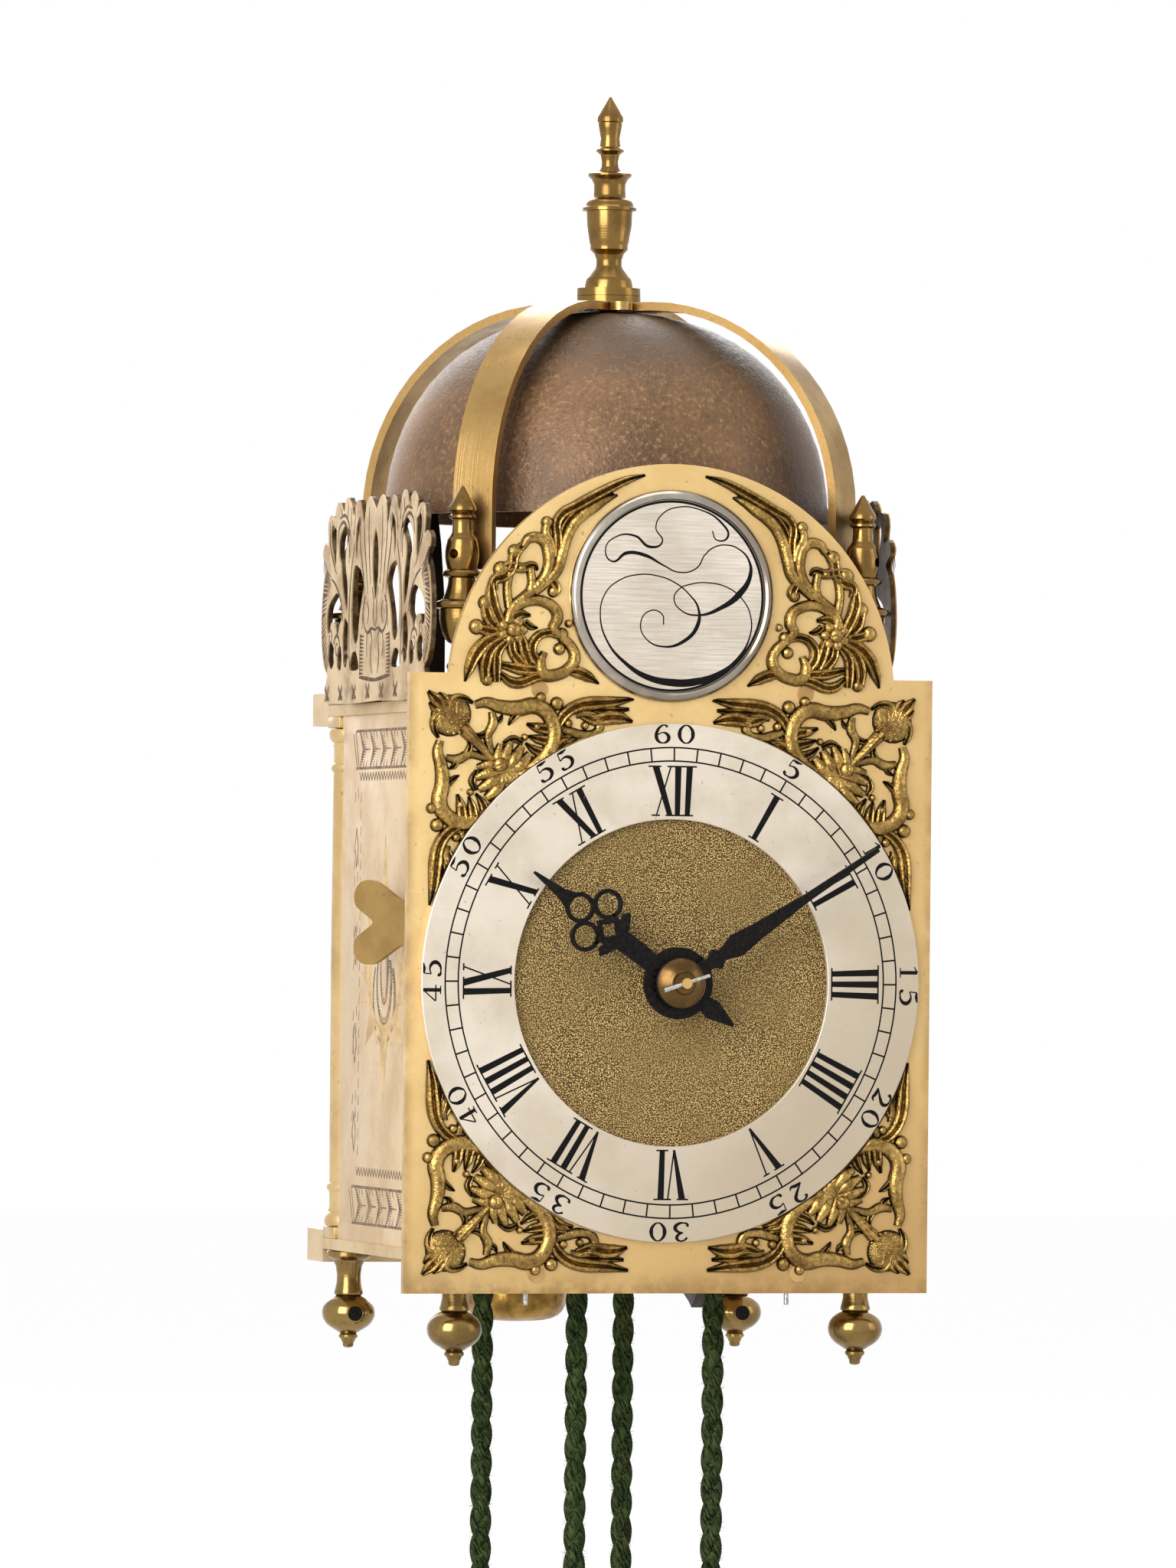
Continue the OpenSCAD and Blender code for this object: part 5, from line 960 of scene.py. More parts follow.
# Side frets
# Pierced sheet-brass gallery on each side, sawn and filed, its scrolls, leaves and middle flower
# cut with a graver. It stands on the top plate's edge on two bent lugs.
pale_brass = brass("pale_engraved_brass", srgb(216, 190, 152), srgb(186, 152, 112), polish=0.36, metal=0.6,
                   worn=0.6, patch=55, grain_size=800, specks=0.3, scratch=(1, 1, 3))
fret_faces = {side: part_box(f"fret_{side}")[k].x for k, side in enumerate(("left", "right"))}


def sawn(finish, face):
    """Dark dirt and painted shade on the sawn edges and the back of a pierced sheet, behind its engraved
    face.
    """
    behind = finish.ease(abs(finish.part(0) - face), 0.00012, 0.0004)
    patchy_dirt_and_shade = behind * finish.ease(finish.grain(300, 4, 0.6), 0.3, 0.6, 0.75, 1)
    spots = finish.mix(finish.ease(finish.grain(130, 4, 0.65), 0.56, 0.7, 0, 0.6), finish.colour,
                       srgb(112, 84, 52))
    finish.feed("Base Color", finish.mix(patchy_dirt_and_shade, spots, srgb(58, 42, 24)))
    return finish


fret_brass = sawn(brass("left_fret_brass", srgb(206, 178, 134), srgb(152, 120, 78), polish=0.34, metal=0.6,
                        worn=0.8, patch=95, grain_size=800, specks=0.5, scratch=(1, 1, 3)),
                  fret_faces["left"])
# painted shade: the right fret is a darker copy of the left fret's brass
right_fret_shaded_brass = sawn(brass("right_fret_brass_painted_shade", srgb(180, 142, 88), srgb(112, 82, 44), polish=0.34, metal=0.85,
                        worn=0.7, patch=80, specks=0.4), fret_faces["right"])


def graver_cuts(name, size, deep, shallow, dull, **constants):
    """The colour of a graver's cuts: two tones, an uneven polish and a fine roughness."""
    made = Finish(name, **constants)
    made.feed("Base Color", made.mix(made.ease(made.grain(size, 3), 0.35, 0.7), deep, shallow))
    made.feed("Roughness", made.ease(made.grain(900, 2), 0.3, 0.7, *dull))
    made.relief(made.grain(1800, 2), 0.00004, 0.5)
    return made


cut_brown = graver_cuts("graver_cuts", 500, srgb(58, 42, 26), srgb(108, 82, 54), (0.4, 0.7),
                        Specular_IOR_Level=0.15)


def hatch(points, reach, gap, width, lean=0.0):
    """Short cuts to the left of a line, one every gap millimetres, as long as reach (start, end)."""
    cuts, carry = [], 0.0
    total = sum(math.dist(a, b) for a, b in zip(points, points[1:]))
    gone = 0.0
    for (x0, y0), (x1, y1) in zip(points, points[1:]):
        run = math.dist((x0, y0), (x1, y1))
        dx, dy = (x1 - x0) / run, (y1 - y0) / run
        step = carry
        while step < run:
            t = (gone + step) / total
            long = reach[0] + (reach[1] - reach[0]) * t
            x, y = x0 + dx * step, y0 + dy * step
            tip = (x - dy * long + dx * lean * long, y + dx * long + dy * lean * long)
            cuts.append([(x, y, width), (*tip, width * 0.3)])
            step += gap
        carry, gone = step - run, gone + run
    return cuts


def spiral(x, z, r, start, turns, width, way=1):
    """A stroke that winds inwards to a fifth of its radius and half its width."""
    made = []
    for k in range(19):
        t = k / 18
        a, reach = start + way * turns * 2 * math.pi * t, r * (1 - 0.8 * t)
        made.append((x + reach * math.cos(a), z + reach * math.sin(a), width * (1 - 0.5 * t)))
    return made


# the strokes of one half of a fret, (across, up, width) from the middle of its foot
fret_half_cuts = []
for k in range(4):
    u = 5.6 + k * 11.3
    fret_half_cuts += [[(u - 1.6, 0.9, .3), (u + 1.6, 3.9, .2)], [(u + 1.5, 0.8, .3), (u - 1.4, 4.0, .2)],
                       [(u - 0.8, 0.8, .2), (u + 2.0, 3.4, .14)], [(u + 0.7, 0.7, .2), (u - 1.9, 3.3, .14)]]
edge_low = [(40.2, 7.2), (42.6, 10), (44.1, 14), (44.4, 18.4), (43.6, 23.6), (42.2, 27), (40.4, 29.2)]
fret_half_cuts += hatch(edge_low, (3.4, 3.6), 0.95, 0.3, 0.35)
fret_half_cuts += hatch([(42.6, 31.4), (41.2, 30.4), (39.2, 28.4), (37, 25.8)], (2.4, 3.6), 0.9, 0.26, 0.3)
fret_half_cuts += [[(x - 3.3, z, .12), (x - 3.4, z + 1, .12)] for x, z in edge_low[1:5]]
fret_half_cuts += [
    spiral(31.4, 12.2, 2.9, 0.3, 1.3, .34), spiral(24.2, 9.2, 2.2, 3.0, 1.2, .3, -1),
    spiral(37.2, 14.4, 1.8, 1.2, 1.1, .26)]
fret_half_cuts += [
    [(20.6, 7.6, .2), (21.4, 14, .3), (21.2, 22, .34), (19.6, 29, .3), (17.2, 34, .2)],
    [(8.4, 21, .16), (10, 27.4, .3), (12.6, 33.8, .34), (13.6, 39.6, .2)],
    [(6, 23, .16), (7.6, 29, .3), (9.2, 35, .3), (9.6, 39, .16)],
    [(4, 25, .16), (5, 31, .28), (5.6, 37, .28), (5.4, 41.6, .16)],
    [(21.8, 30, .16), (22.2, 35, .34), (25.6, 38.8, .34), (30, 38, .26), (31.6, 34.6, .16)],
    [(20.8, 31, .16), (21, 36.2, .28), (24.6, 40.2, .3), (29.6, 40, .2)],
    [(27.8, 40.4, .3), (28.6, 42, .2)], [(23.4, 39.6, .26), (22.8, 42.6, .16)],
    [(18, 36, .26), (16.6, 41, .16)], [(20, 38, .26), (20.6, 42, .16)], [(13, 34, .2), (11.8, 39.6, .16)],
    [(34.6, 37.6, .26), (36.4, 39.8, .16)],
    [(32.2, 28, .16), (35.4, 31.2, .3), (38, 35.4, .3), (37.8, 39.4, .16)],
    [(26.6, 17.8, .16), (28.4, 21.8, .3), (32.4, 25.4, .3), (36.6, 27.2, .16)],
    [(0.0, 4.6, .3), (4, 4.8, .34), (9, 5.2, .34), (12.6, 5.4, .2)],
    [(2.2, 6, .2), (3.4, 9, .3), (3, 12.6, .2)],
    [(2.2, 12.4, .16), (2.9, 14.4, .24), (5.2, 15, .24), (6.8, 12.6, .2), (6, 9.6, .16)],
    [(0, 15.2, .2), (2.8, 15.6, .28), (6.4, 14.8, .28), (9.4, 17.4, .3), (9, 20.4, .2)],
    [(6.4, 16.6, .16), (5.2, 19.2, .26), (6.6, 21.4, .16)],
    [(0.4, 16, .16), (1.4, 18.4, .26), (1.2, 21.4, .26), (2.6, 24.4, .2)],
    [(10.4, 15.8, .2), (9.6, 20.6, .26), (7.4, 22.6, .16)]]
fret_half_cuts += hatch([(12.2, 14.2), (12.4, 11), (12.6, 6)], (-3.4, -3.0), 0.8, 0.3)
fret_cuts = fret_half_cuts + [[(-p[0], p[1], p[2]) for p in line] for line in fret_half_cuts]
plate_over = 58.9
for side, slot in (("left", "pale_brass"), ("right", "dark_brass")):
    lo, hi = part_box(f"fret_{side}")
    lines = strokes(widened(fret_cuts, 2.6), flat=0.1, turn=6)
    lay_flat(lines, Vector((fret_faces[side], (lo.y + hi.y) / 2, at(0, 0, plate_over).z)), side)
    settle(lines, f"fret_{side}_engraving", "frame", cut_brown, 60)
dress("fret_left", fret_brass)
dress("fret_right", right_fret_shaded_brass)

# Side doors
# Sheet-brass doors on pin hinges at the rear, engraved with bands of leaf chevrons, a dashed border with
# lozenges, and a large rosette of pointed rays round a drop of nested scallops.
cut_gold = graver_cuts("bright_cuts", 400, srgb(88, 64, 36), srgb(136, 104, 62), (0.3, 0.55), Metallic=0.5,
                       IOR=1.45)
# painted highlight: the rosette's rays and bands along its scallops are bright gold glints laid on the door
rosette_glint = Finish("rosette_painted_glint", Metallic=0.75, IOR=1.45)
rosette_glint.feed("Base Color", rosette_glint.mix(rosette_glint.ease(rosette_glint.grain(260, 4), 0.35, 0.7), srgb(226, 190, 118),
                                 srgb(184, 146, 84)))
rosette_glint.feed("Roughness", rosette_glint.ease(rosette_glint.grain(900, 2), 0.3, 0.7, 0.24, 0.42))
rosette_glint.relief(rosette_glint.grain(1.0, 3, 0.6, squeeze=(1, 900, 300)), 0.00004, 0.6)
door_face, door_middle, hinge = 48.1, 50.85, (46.7, 87.4)
# each stroke below is (across, up, width) from the middle of the door
leaf_bands = ((45.0, 53.0, 43.2), (-52.5, -44.7, -41.4))
dash_pitch, lozenge_across, lozenges_up = 3.6, 24, (-33, -14, 7, 28)
rosette_up, ray_near = 1, 11.5


def leaf_band(low, high):
    """A band between two lines with six feathered chevrons in it, and small nicks along its lines."""
    mid = (low + high) / 2
    made = [[(-25, low, .22), (26.5, low, .22)], [(-25, high, .22), (26.5, high, .22)],
            [(-25.6, high, .2), (-22.6, low, .2)], [(-27.4, high - 0.6, .18), (-24.2, low + 0.3, .18)]]
    for k in range(6):
        u = -22.2 + k * 8.4
        made.append([(u, high - 0.2, .16), (u + 2.6, mid, .2), (u, low + 0.2, .16)])
        for j in range(15):
            t = (j - 7) / 7
            long = 3.6 - 2.4 * abs(t) if j != 7 else 6.4
            root = u + 2.6 * (1 - abs(t))
            made.append([(root, mid + t * 3.7, .22), (root + long, mid + t * 3.7 + 0.06 * t, .06)])
        for nick in (u + 2.8, u + 5.0):
            made += [[(nick, high, .26), (nick + 1.1, high - 1.7, .1)],
                     [(nick, low, .26), (nick + 1.1, low + 1.7, .1)]]
    return made


def zigzag(middle):
    """A row of short slanting cuts, joined at their ends."""
    wave, u = [], -22.0
    while u < 25:
        wave += [(u, middle + 0.85, .2), (u + 1.1, middle - 0.85, .2)]
        u += 2.25
    return [[a, b] for a, b in zip(wave, wave[1:])]


def dashed_border(s):
    """Dashes down one side of the door, with lozenges between them. Side s is -1 or 1."""
    made = []
    for k in range(22):
        z = -38 + k * dash_pitch
        made.append([(s * 20.8, z, .16), (s * 20.8 + 0.3, z + 2.2, .12)])
        if (k + 1) % 5 and k % 5:
            made += [[(s * 25.6, z, .16), (s * 25.2, z + 2.4, .12)],
                     [(s * 22.6, z + 1, .16), (s * 23.0, z + 3.2, .12)]]
    for z in lozenges_up:
        corners = [(0, -4.2), (-1.4, 0), (0, 4.2), (1.4, 0), (0, -4.2)]
        corners = [(s * (lozenge_across + u), z + v, .18) for u, v in corners]
        made += [[a, b] for a, b in zip(corners, corners[1:])]
    return made


def ray(k):
    """One of sixteen pointed rays: its body, a painted glint in bright gold, and the cuts along it."""
    a, long_one = math.radians(90 + k * 22.5), k % 2 == 0
    far = {0: 29.5, 8: 27}.get(k, 21.5 if long_one else 16.5)
    if abs(math.cos(a)) > 0.8:
        far = min(far, 18.5)
    wide = 2.5 if long_one else 1.7

    def place(along, aside, width):
        return (along * math.cos(a) - aside * math.sin(a),
                rosette_up + along * math.sin(a) + aside * math.cos(a), width)

    made = []
    for j in range(9):
        off = (j - 4) / 4
        start, end = ray_near + 0.4 * abs(off), ray_near + (far - ray_near) * (1 - abs(off) ** 0.7 * 0.92)
        made.append([place(start, wide * off, .24), place(end, wide * off * 0.12, .07)])
    return [place(ray_near, 0, 3.2 * wide), place(far, 0, 0.3)], made


def scallop(wide, top, drop):
    """One scallop of the rosette's drop: an open oval with its gap at the top."""
    angles = [(-0.9 + 1.8 * k / 22) * math.pi * 0.78 for k in range(23)]
    return [(wide * math.sin(t), (top + drop) / 2 - (top - drop) / 2 * math.cos(t)) for t in angles]


door_cuts, door_glints = [], []
for low, high, wave_up in leaf_bands:
    door_cuts += leaf_band(low, high) + zigzag(wave_up)
for s in (-1, 1):
    door_cuts += dashed_border(s)
for k in range(16):
    body, cuts = ray(k)
    door_glints.append(body)
    door_cuts += cuts
for size in ((9.2, 6.5, -13.8), (6.2, 7.5, -9.6), (3.2, 8.5, -5.4)):
    line = scallop(*size)
    door_cuts.append([(x, z, .2) for x, z in line])
    # painted highlight: a band of bright glint along each scallop
    door_glints += [[(*a, 2.2), (*b, 2.2)] for a, b in zip(line[8:], line[9:-7])]
    door_cuts += hatch(line, (0.8, 2.0), 0.62, 0.22, 0.5)


def door_sheet(side, s):
    """A door's sheet with the two knuckles of its pin hinge, between the plates."""
    lo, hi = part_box(f"door_{side}")
    sheet_thick, sheet_deep, sheet_middle, knuckle_high = 0.0014, 0.0735, 49.85, 0.0052
    deselect()
    bpy.ops.mesh.primitive_cube_add(size=1)
    sheet = bpy.context.object
    sheet.scale = (sheet_thick, sheet_deep, hi.z - lo.z)
    sheet.location = (at(s * 47.4, 0, 0).x, at(0, sheet_middle, 0).y, (lo.z + hi.z) / 2)
    bpy.ops.object.transform_apply(location=True, scale=True)
    soften(sheet, 0.0002)
    pieces = [sheet]
    for end in (lo.z + 0.0028, hi.z - 0.0028):
        deselect()
        bpy.ops.mesh.primitive_cylinder_add(vertices=32, radius=0.0013, depth=knuckle_high)
        bpy.context.object.location = (at(s * hinge[0], 0, 0).x, at(0, hinge[1], 0).y, end)
        bpy.ops.object.transform_apply(location=True)
        pieces.append(bpy.context.object)
    return join(pieces)


for side, s in (("left", -1), ("right", 1)):
    sheet = door_sheet(side, s)
    settle(sheet, f"door_{side}_sheet", f"door_{side}", pale_brass, 40)
    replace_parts(sheet, f"door_{side}")
    lines = strokes(widened(door_cuts, 2.5, 0.06), flat=0.09, turn=4)
    lay_flat(lines, at(s * door_face, door_middle, 0), side)
    settle(lines, f"door_{side}_engraving", f"door_{side}", cut_gold, 60)
    glints = strokes(door_glints, flat=0.02, curved=False)
    lay_flat(glints, at(s * door_face, door_middle, 0), side)
    settle(glints, f"door_{side}_rays", f"door_{side}", rosette_glint, 60)
thumb_brass = brass("thumb_brass", srgb(176, 142, 84), srgb(126, 96, 50), polish=0.3, metal=0.9, worn=0.5,
                    grain_size=700, scratch=(1, 1, 6))
for side in ("left", "right"):
    thumb = turned_copy(f"handle_{side}", thumb_brass, 30, f"door_{side}", f"thumb_piece_{side}")
    soften(thumb, 0.0002, 50)

# Frame: plates, pillars, finials and feet
# Two thick brass plates, joined by four turned pillars whose studs pass through them into the finials
# above and the ball feet below. The plates' edges are draw-filed, the turned pieces polished on the lathe.
pillar_across, pillars_at = 43.8, {"front": 7.9, "rear": 93.8}
pillar_middle = 56.5
plate_finish = brass("frame_plate_brass", srgb(214, 184, 130), srgb(156, 120, 70), polish=0.26, metal=0.8,
                     worn=0.5, grain_size=600, patch=60, scratch=(1, 1, 6))
for node in ("top_plate", "bottom_plate"):
    dress(node, plate_finish)
# half a pillar: (radius, distance from the plate), from its square block to the middle
pillar_half = [(4.6, 2.45), (5.3, 2.8), (5.5, 3.6), (5.3, 4.7), (4.9, 5.4), (4.55, 5.7), (4.7, 6.3),
               (4.4, 6.8), (4.45, 10.1), (4.85, 10.5), (5.0, 11.1), (4.85, 11.7), (4.45, 12.1), (4.5, 20),
               (4.55, 38), (4.6, pillar_middle)]


def lathe(profile):
    """A turned piece on the Z axis from its half outline (radius, height) in millimetres."""
    outline = bpy.data.curves.new("outline", "CURVE")
    outline.dimensions = "3D"
    edge_line = outline.splines.new("POLY")
    edge_line.points.add(len(profile) - 1)
    for point, (r, z) in zip(edge_line.points, profile):
        point.co = (r * 0.001, 0, z * 0.001, 1)
    piece = bpy.data.objects.new("turned", outline)
    bpy.context.scene.collection.objects.link(piece)
    choose(piece)
    bpy.ops.object.convert(target="MESH")
    piece = bpy.context.object
    round_about = piece.modifiers.new("lathe", "SCREW")
    round_about.steps = round_about.render_steps = 56
    round_about.use_merge_vertices, round_about.merge_threshold = True, 1e-6
    apply_modifiers(piece)
    bpy.ops.object.mode_set(mode="EDIT")
    bpy.ops.mesh.select_all(action="SELECT")
    bpy.ops.mesh.normals_make_consistent(inside=False)
    bpy.ops.object.mode_set(mode="OBJECT")
    return piece


def standing(piece, x, y, z):
    """The piece moved to its place, with the place in its mesh."""
    piece.location = at(x, y, z)
    choose(piece)
    bpy.ops.object.transform_apply(location=True)
    return piece


def pillar(length):
    """A turned pillar round the origin between two square blocks, with its stud running through."""
    block_wide, block_high = 0.0094, 0.0025
    upper = [(r, pillar_middle - z) for r, z in pillar_half]
    lower = [(r, -z) for r, z in upper[-2::-1]]
    pieces = [lathe([(0, upper[0][1])] + upper + lower + [(0, -upper[0][1])])]
    for end in (-1, 1):
        deselect()
        bpy.ops.mesh.primitive_cube_add(size=1)
        block = bpy.context.object
        block.scale = (block_wide, block_wide, block_high)
        block.location.z = end * 0.05525
        bpy.ops.object.transform_apply(location=True, scale=True)
        soften(block, 0.0002)
        pieces.append(block)
    deselect()
    bpy.ops.mesh.primitive_cylinder_add(vertices=32, radius=0.0016, depth=length)
    pieces.append(bpy.context.object)
    return join(pieces)


for end, y in pillars_at.items():
    lo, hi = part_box(f"pillars_{end}")
    both = join([standing(pillar(hi.z - lo.z), s * pillar_across, y, 0) for s in (-1, 1)])
    settle(both, f"pillars_{end}_turned", "frame", plate_finish, 34)
    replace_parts(both, f"pillars_{end}")


def lathe_polished(name, light, dark, **look):
    """Brass polished on the lathe, with the fine rings that the polishing leaves."""
    made = brass(name, light, dark, metal=0.97, **look)
    rings = made.grain(1.0, 3, 0.6, squeeze=(60, 60, 3400))
    made.relief(rings + made.fine * 0.4, 0.00003, 0.5)
    return made


finial_brass = lathe_polished("finial_brass", srgb(136, 106, 58), srgb(58, 40, 18), polish=0.15, worn=0.45,
                              patch=150, grain_size=1100, specks=0.3)
for end in pillars_at:
    turned_copy(f"finials_{end}", finial_brass, 34)
foot_brass_turned = lathe_polished("turned_foot_brass", srgb(146, 120, 72), srgb(78, 58, 28), polish=0.13,
                                   worn=0.6, patch=130, specks=0.5)
# a foot's half outline below the bottom plate: collar, waist, neck ring, flattened ball and drop
ball_radius, ball_down = 5.75, 13.7
foot_top = [(0, 0), (4.5, 0), (4.85, -0.5), (4.85, -1.4), (4.4, -1.9), (3.5, -2.3), (2.85, -3.6),
            (2.6, -5.4), (2.65, -7.2), (2.95, -8.6), (3.15, -9.2), (3.1, -9.7)]
ball_angles = [math.radians(62 - k * 10) for k in range(13)]
foot_ball = [(ball_radius * math.cos(a), -ball_down + 4.3 * math.sin(a)) for a in ball_angles]
foot_drop = [(2.2, -17.9), (1.75, -18.1), (2.05, -18.5), (2.05, -19), (1.6, -19.4), (1.4, -19.9),
             (1.2, -20.2), (1.15, -20.9), (0.8, -21.2), (0, -21.3)]
for end, y in pillars_at.items():
    outline = foot_top + foot_ball + foot_drop
    feet = join([standing(lathe(outline), s * pillar_across, y, plate_under) for s in (-1, 1)])
    settle(feet, f"feet_{end}_turned", "frame", foot_brass_turned, 34)
    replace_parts(feet, f"feet_{end}")
# a black steel plug fills the cross hole of each rear foot and ends flush with the ball: painted shade for
# the dark inside of the hole
for side, s in (("left", -1), ("right", 1)):
    deselect()
    bpy.ops.mesh.primitive_cylinder_add(vertices=32, radius=0.0016, depth=0.0117)
    hole_shade_plug = bpy.context.object
    hole_shade_plug.rotation_euler.x = math.pi / 2
    hole_shade_plug.location = at(s * pillar_across, pillars_at["rear"], plate_under - ball_down)
    settle(hole_shade_plug, f"foot_hole_shade_plug_{side}", "frame", blued, 40)

# Bell
# Dark brown bell metal, cast in sand, with a fine gritty skin that was never polished, only turned at
# the lip. It hangs on the stem of its finial, and the hammer strikes it from inside.
bell_metal = Finish("bell_metal", Metallic=0.2, IOR=1.45)
bell_cloud = bell_metal.grain(42, 5, 0.62)
bell_sand = bell_metal.grain(900, 4, 0.7)
bell_grit = bell_metal.node("ShaderNodeTexVoronoi", {"feature": "F1"},
                            {"Vector": bell_metal.place, "Scale": 1500.0})
bell_tone = bell_metal.mix(bell_metal.ease(bell_cloud, 0.32, 0.7), srgb(118, 86, 56), srgb(84, 60, 38))
bell_tone = bell_metal.mix(bell_metal.ease(bell_sand, 0.5, 0.72, 0, 0.55), bell_tone, srgb(178, 142, 100))
bell_tone = bell_metal.mix(bell_metal.ease(bell_sand, 0.46, 0.3, 0, 0.5), bell_tone, srgb(50, 36, 24))
# painted shade: the bell is darker towards its top and towards the right
bell_top_shade_painted = bell_metal.ease(bell_metal.part(2) - at(0, 0, 120).z, 0.0, 0.022, 0, 0.7)
bell_right_shade_painted = bell_metal.ease(bell_metal.part(0) - hands_centre.x, 0.012, 0.052, 0, 0.5)
bell_metal.feed("Base Color", bell_metal.mix(bell_top_shade_painted + bell_right_shade_painted, bell_tone, srgb(54, 38, 22)))
bell_metal.feed("Roughness", bell_metal.ease(bell_sand, 0.3, 0.7, 0.36, 0.56))
bell_metal.relief(bell_sand + bell_grit * 0.5, 0.00022, 0.8)
turned_copy("bell", bell_metal, 30)

# Bell straps and bell finial
# Four straps of brass strip, bent over the bell from the corner finials and filed along their length,
# meet in a cusped plate under the tall turned finial, whose stem holds the bell.
strap_brass = brass("strap_brass", srgb(178, 144, 90), srgb(122, 92, 48), polish=0.22, metal=0.92, worn=0.6,
                    patch=70, specks=0.4)
strap_across = abs(strap_brass.part(0)) - abs(strap_brass.part(1) - at(0, door_middle, 0).y)
lines_along = strap_brass.node("ShaderNodeTexNoise", {"noise_dimensions": "1D"},
                               {"W": strap_across, "Scale": 2600.0, "Detail": 3.0})
strap_brass.relief(lines_along * 0.9 + strap_brass.fine * 0.3, 0.00004, 0.7)
turned_copy("bell_straps", strap_brass, 30)
turned_copy("bell_finial", finial_brass, 34)

# Hammer
# Blackened steel hammer, filed from one piece with its arbor, which turns in two brass cocks. Its stem
# rises through the top plate to strike inside the bell.
dress("hammer", blued)

# Movement
# Brass wheels on steel arbors between three upright bars, the going train in front and the striking train
# behind it; the verge lies over the crown wheel, with the pendulum on its rear end.
wheel_brass = brass("wheel_brass", srgb(210, 176, 108), srgb(150, 114, 58), polish=0.26, metal=0.9,
                    worn=0.45, grain_size=900, patch=110)
movement = ["front_bar", "middle_bar", "rear_bar", "hour_wheel", "minute_wheel", "centre_arbor",
            "going_great_wheel", "contrate_wheel", "crown_wheel", "verge_cocks", "crown_bridge", "potence",
            "strike_great_wheel", "hoop_wheel", "fly", "count_wheel", "hammer_cocks"]
for node in movement:
    dress(node, wheel_brass)
for node in ("verge", "pendulum_rod"):
    dress(node, steel)
bob_brass = brass("bob_brass", srgb(168, 132, 68), srgb(104, 74, 32), polish=0.28, metal=0.92, worn=0.8,
                  patch=260, specks=0.7)
turned_copy("pendulum_bob", bob_brass, 34, "pendulum")

# Wall side
# Pale brass spacer bars that stand the clock off the wall, a forged iron hoop riveted to the top plate,
# and two iron spurs below that prick the wall.
dress("wall_bars", pale_brass)
iron = Finish("forged_iron", Metallic=0.5, IOR=1.5)
iron_cloud, iron_pits = iron.grain(180, 5, 0.65), iron.grain(900, 4, 0.7)
iron_tone = iron.mix(iron.ease(iron_cloud, 0.35, 0.68), srgb(58, 52, 48), srgb(88, 68, 54))
iron.feed("Base Color", iron.mix(iron.ease(iron_pits, 0.6, 0.75, 0, 0.6), iron_tone, srgb(110, 78, 56)))
iron.feed("Roughness", iron.ease(iron_pits, 0.3, 0.7, 0.45, 0.75))
iron.relief(iron_pits, 0.0002, 0.8)
dress("hanging_hoop", iron)
spurs = turned_copy("wall_spurs", iron, 30, name="wall_spurs_forged")
# each is forged narrower than its bar, and the left one leans in towards its point
spur_inner, spur_wide, lean_from, lean = 0.036, 0.0072, 99, 0.28
for v in spurs.data.vertices:
    share = (abs(v.co.x) - spur_inner) / spur_wide
    if v.co.x < 0:
        v.co.x = -0.04 - 0.0026 * share + lean * (v.co.y - at(0, lean_from, 0).y)
    else:
        v.co.x = 0.038 + 0.0044 * share

# Floor, light and world
# A plain pale floor just under the hanging ropes, and broad soft lamps to the left, the right, above and
# behind. Floor and sky look white to the camera and in the brass, and the sky's own light is dim.
deselect()
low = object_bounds()[0].z
bpy.ops.mesh.primitive_plane_add(size=6, location=(0, 0, low - 0.004))
floor = bpy.context.object
floor.name = "floor"
pale = Finish("pale_floor", Roughness=0.9, Base_Color=srgb(240, 239, 237))
seen_rays = pale.node("ShaderNodeLightPath", out="Is Camera Ray")
for kind in ("Glossy", "Transmission"):
    seen_rays += pale.node("ShaderNodeLightPath", out=f"Is {kind} Ray")
glow = pale.tree.nodes.new("ShaderNodeEmission")
glow.inputs["Color"].default_value, glow.inputs["Strength"].default_value = (1, 1, 1, 1), 1.02
blend = pale.tree.nodes.new("ShaderNodeMixShader")
pale.tree.links.new((seen_rays * 0.94).socket, blend.inputs[0])
pale.tree.links.new(pale.shader.outputs[0], blend.inputs[1])
pale.tree.links.new(glow.outputs[0], blend.inputs[2])
floor_end = next(n for n in pale.tree.nodes if n.type == "OUTPUT_MATERIAL")
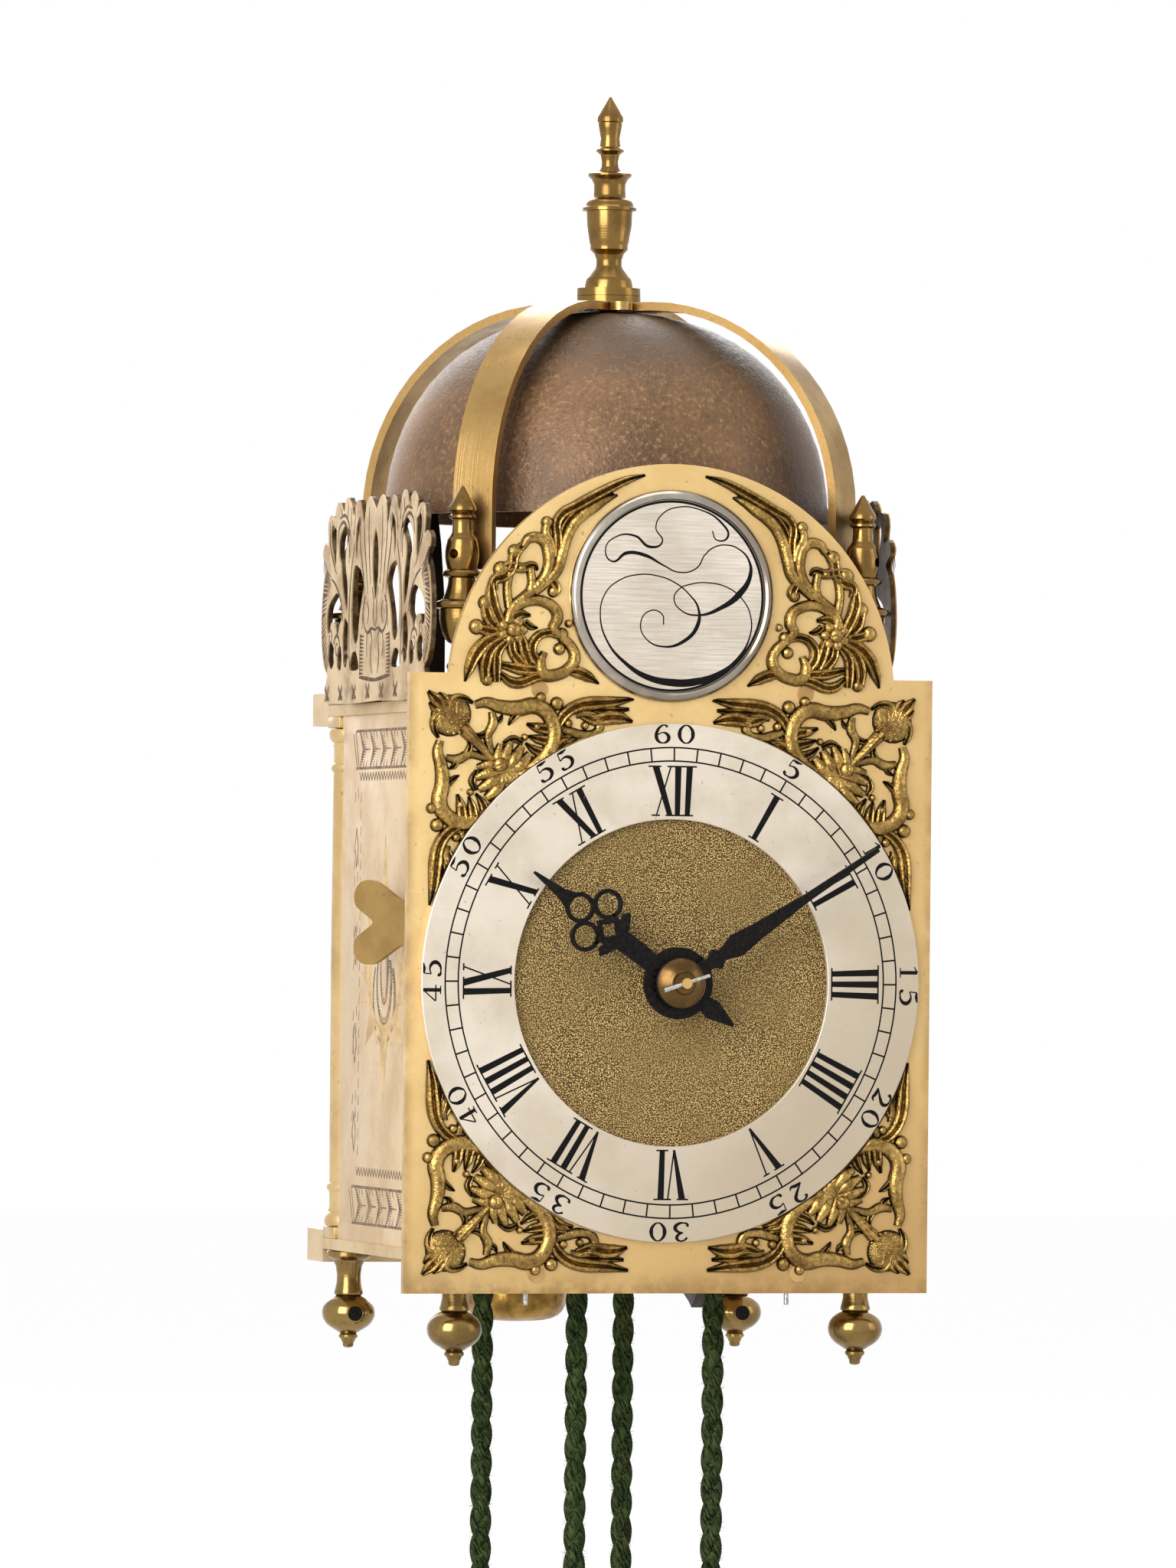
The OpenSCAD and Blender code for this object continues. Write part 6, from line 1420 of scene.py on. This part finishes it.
pale.tree.links.new(blend.outputs[0], floor_end.inputs["Surface"])
pale.feed("Roughness", pale.ease(pale.grain(6, 3), 0.3, 0.7, 0.85, 0.95))
floor.data.materials.append(pale.material)

world = bpy.data.worlds.new("studio")
bpy.context.scene.world = world
world.use_nodes = True
sky = world.node_tree
sky.nodes.clear()
seen = sky.nodes.new("ShaderNodeLightPath")
any_seen, also = sky.nodes.new("ShaderNodeMath"), sky.nodes.new("ShaderNodeMath")
for total in (any_seen, also):
    total.operation = "ADD"
    total.use_clamp = True
sky.links.new(seen.outputs["Is Camera Ray"], any_seen.inputs[0])
sky.links.new(seen.outputs["Is Glossy Ray"], any_seen.inputs[1])
sky.links.new(any_seen.outputs[0], also.inputs[0])
sky.links.new(seen.outputs["Is Transmission Ray"], also.inputs[1])
both_skies = sky.nodes.new("ShaderNodeMixShader")
sky.links.new(also.outputs[0], both_skies.inputs[0])
# the sky that lights the clock is dim, and the one that is seen, also in the brass, is white
for k, strength in enumerate((0.38, 1.0)):
    half = sky.nodes.new("ShaderNodeBackground")
    half.inputs["Color"].default_value = (1, 1, 1, 1)
    half.inputs["Strength"].default_value = strength
    sky.links.new(half.outputs[0], both_skies.inputs[k + 1])
sky_end = sky.nodes.new("ShaderNodeOutputWorld")
sky.links.new(both_skies.outputs[0], sky_end.inputs["Surface"])


def lamp(name, place, size, power):
    """A rectangular softbox at a place in millimetres, turned towards the clock's middle."""
    light = bpy.data.lights.new(name, "AREA")
    light.shape, light.size, light.size_y, light.energy = "RECTANGLE", size[0], size[1], power
    stand = bpy.data.objects.new(name, light)
    bpy.context.scene.collection.objects.link(stand)
    stand.location = at(*place)
    stand.rotation_euler = (at(0, 40, 20) - at(*place)).to_track_quat("-Z", "Y").to_euler()


lamp("left_softbox", (-950, -900, 450), (0.9, 1.2), 24)
lamp("right_softbox", (1000, -500, 200), (0.5, 0.9), 2)
lamp("top_softbox", (0, 100, 1100), (0.7, 0.6), 3)
lamp("rear_softbox", (200, 1000, 500), (0.9, 0.9), 8)
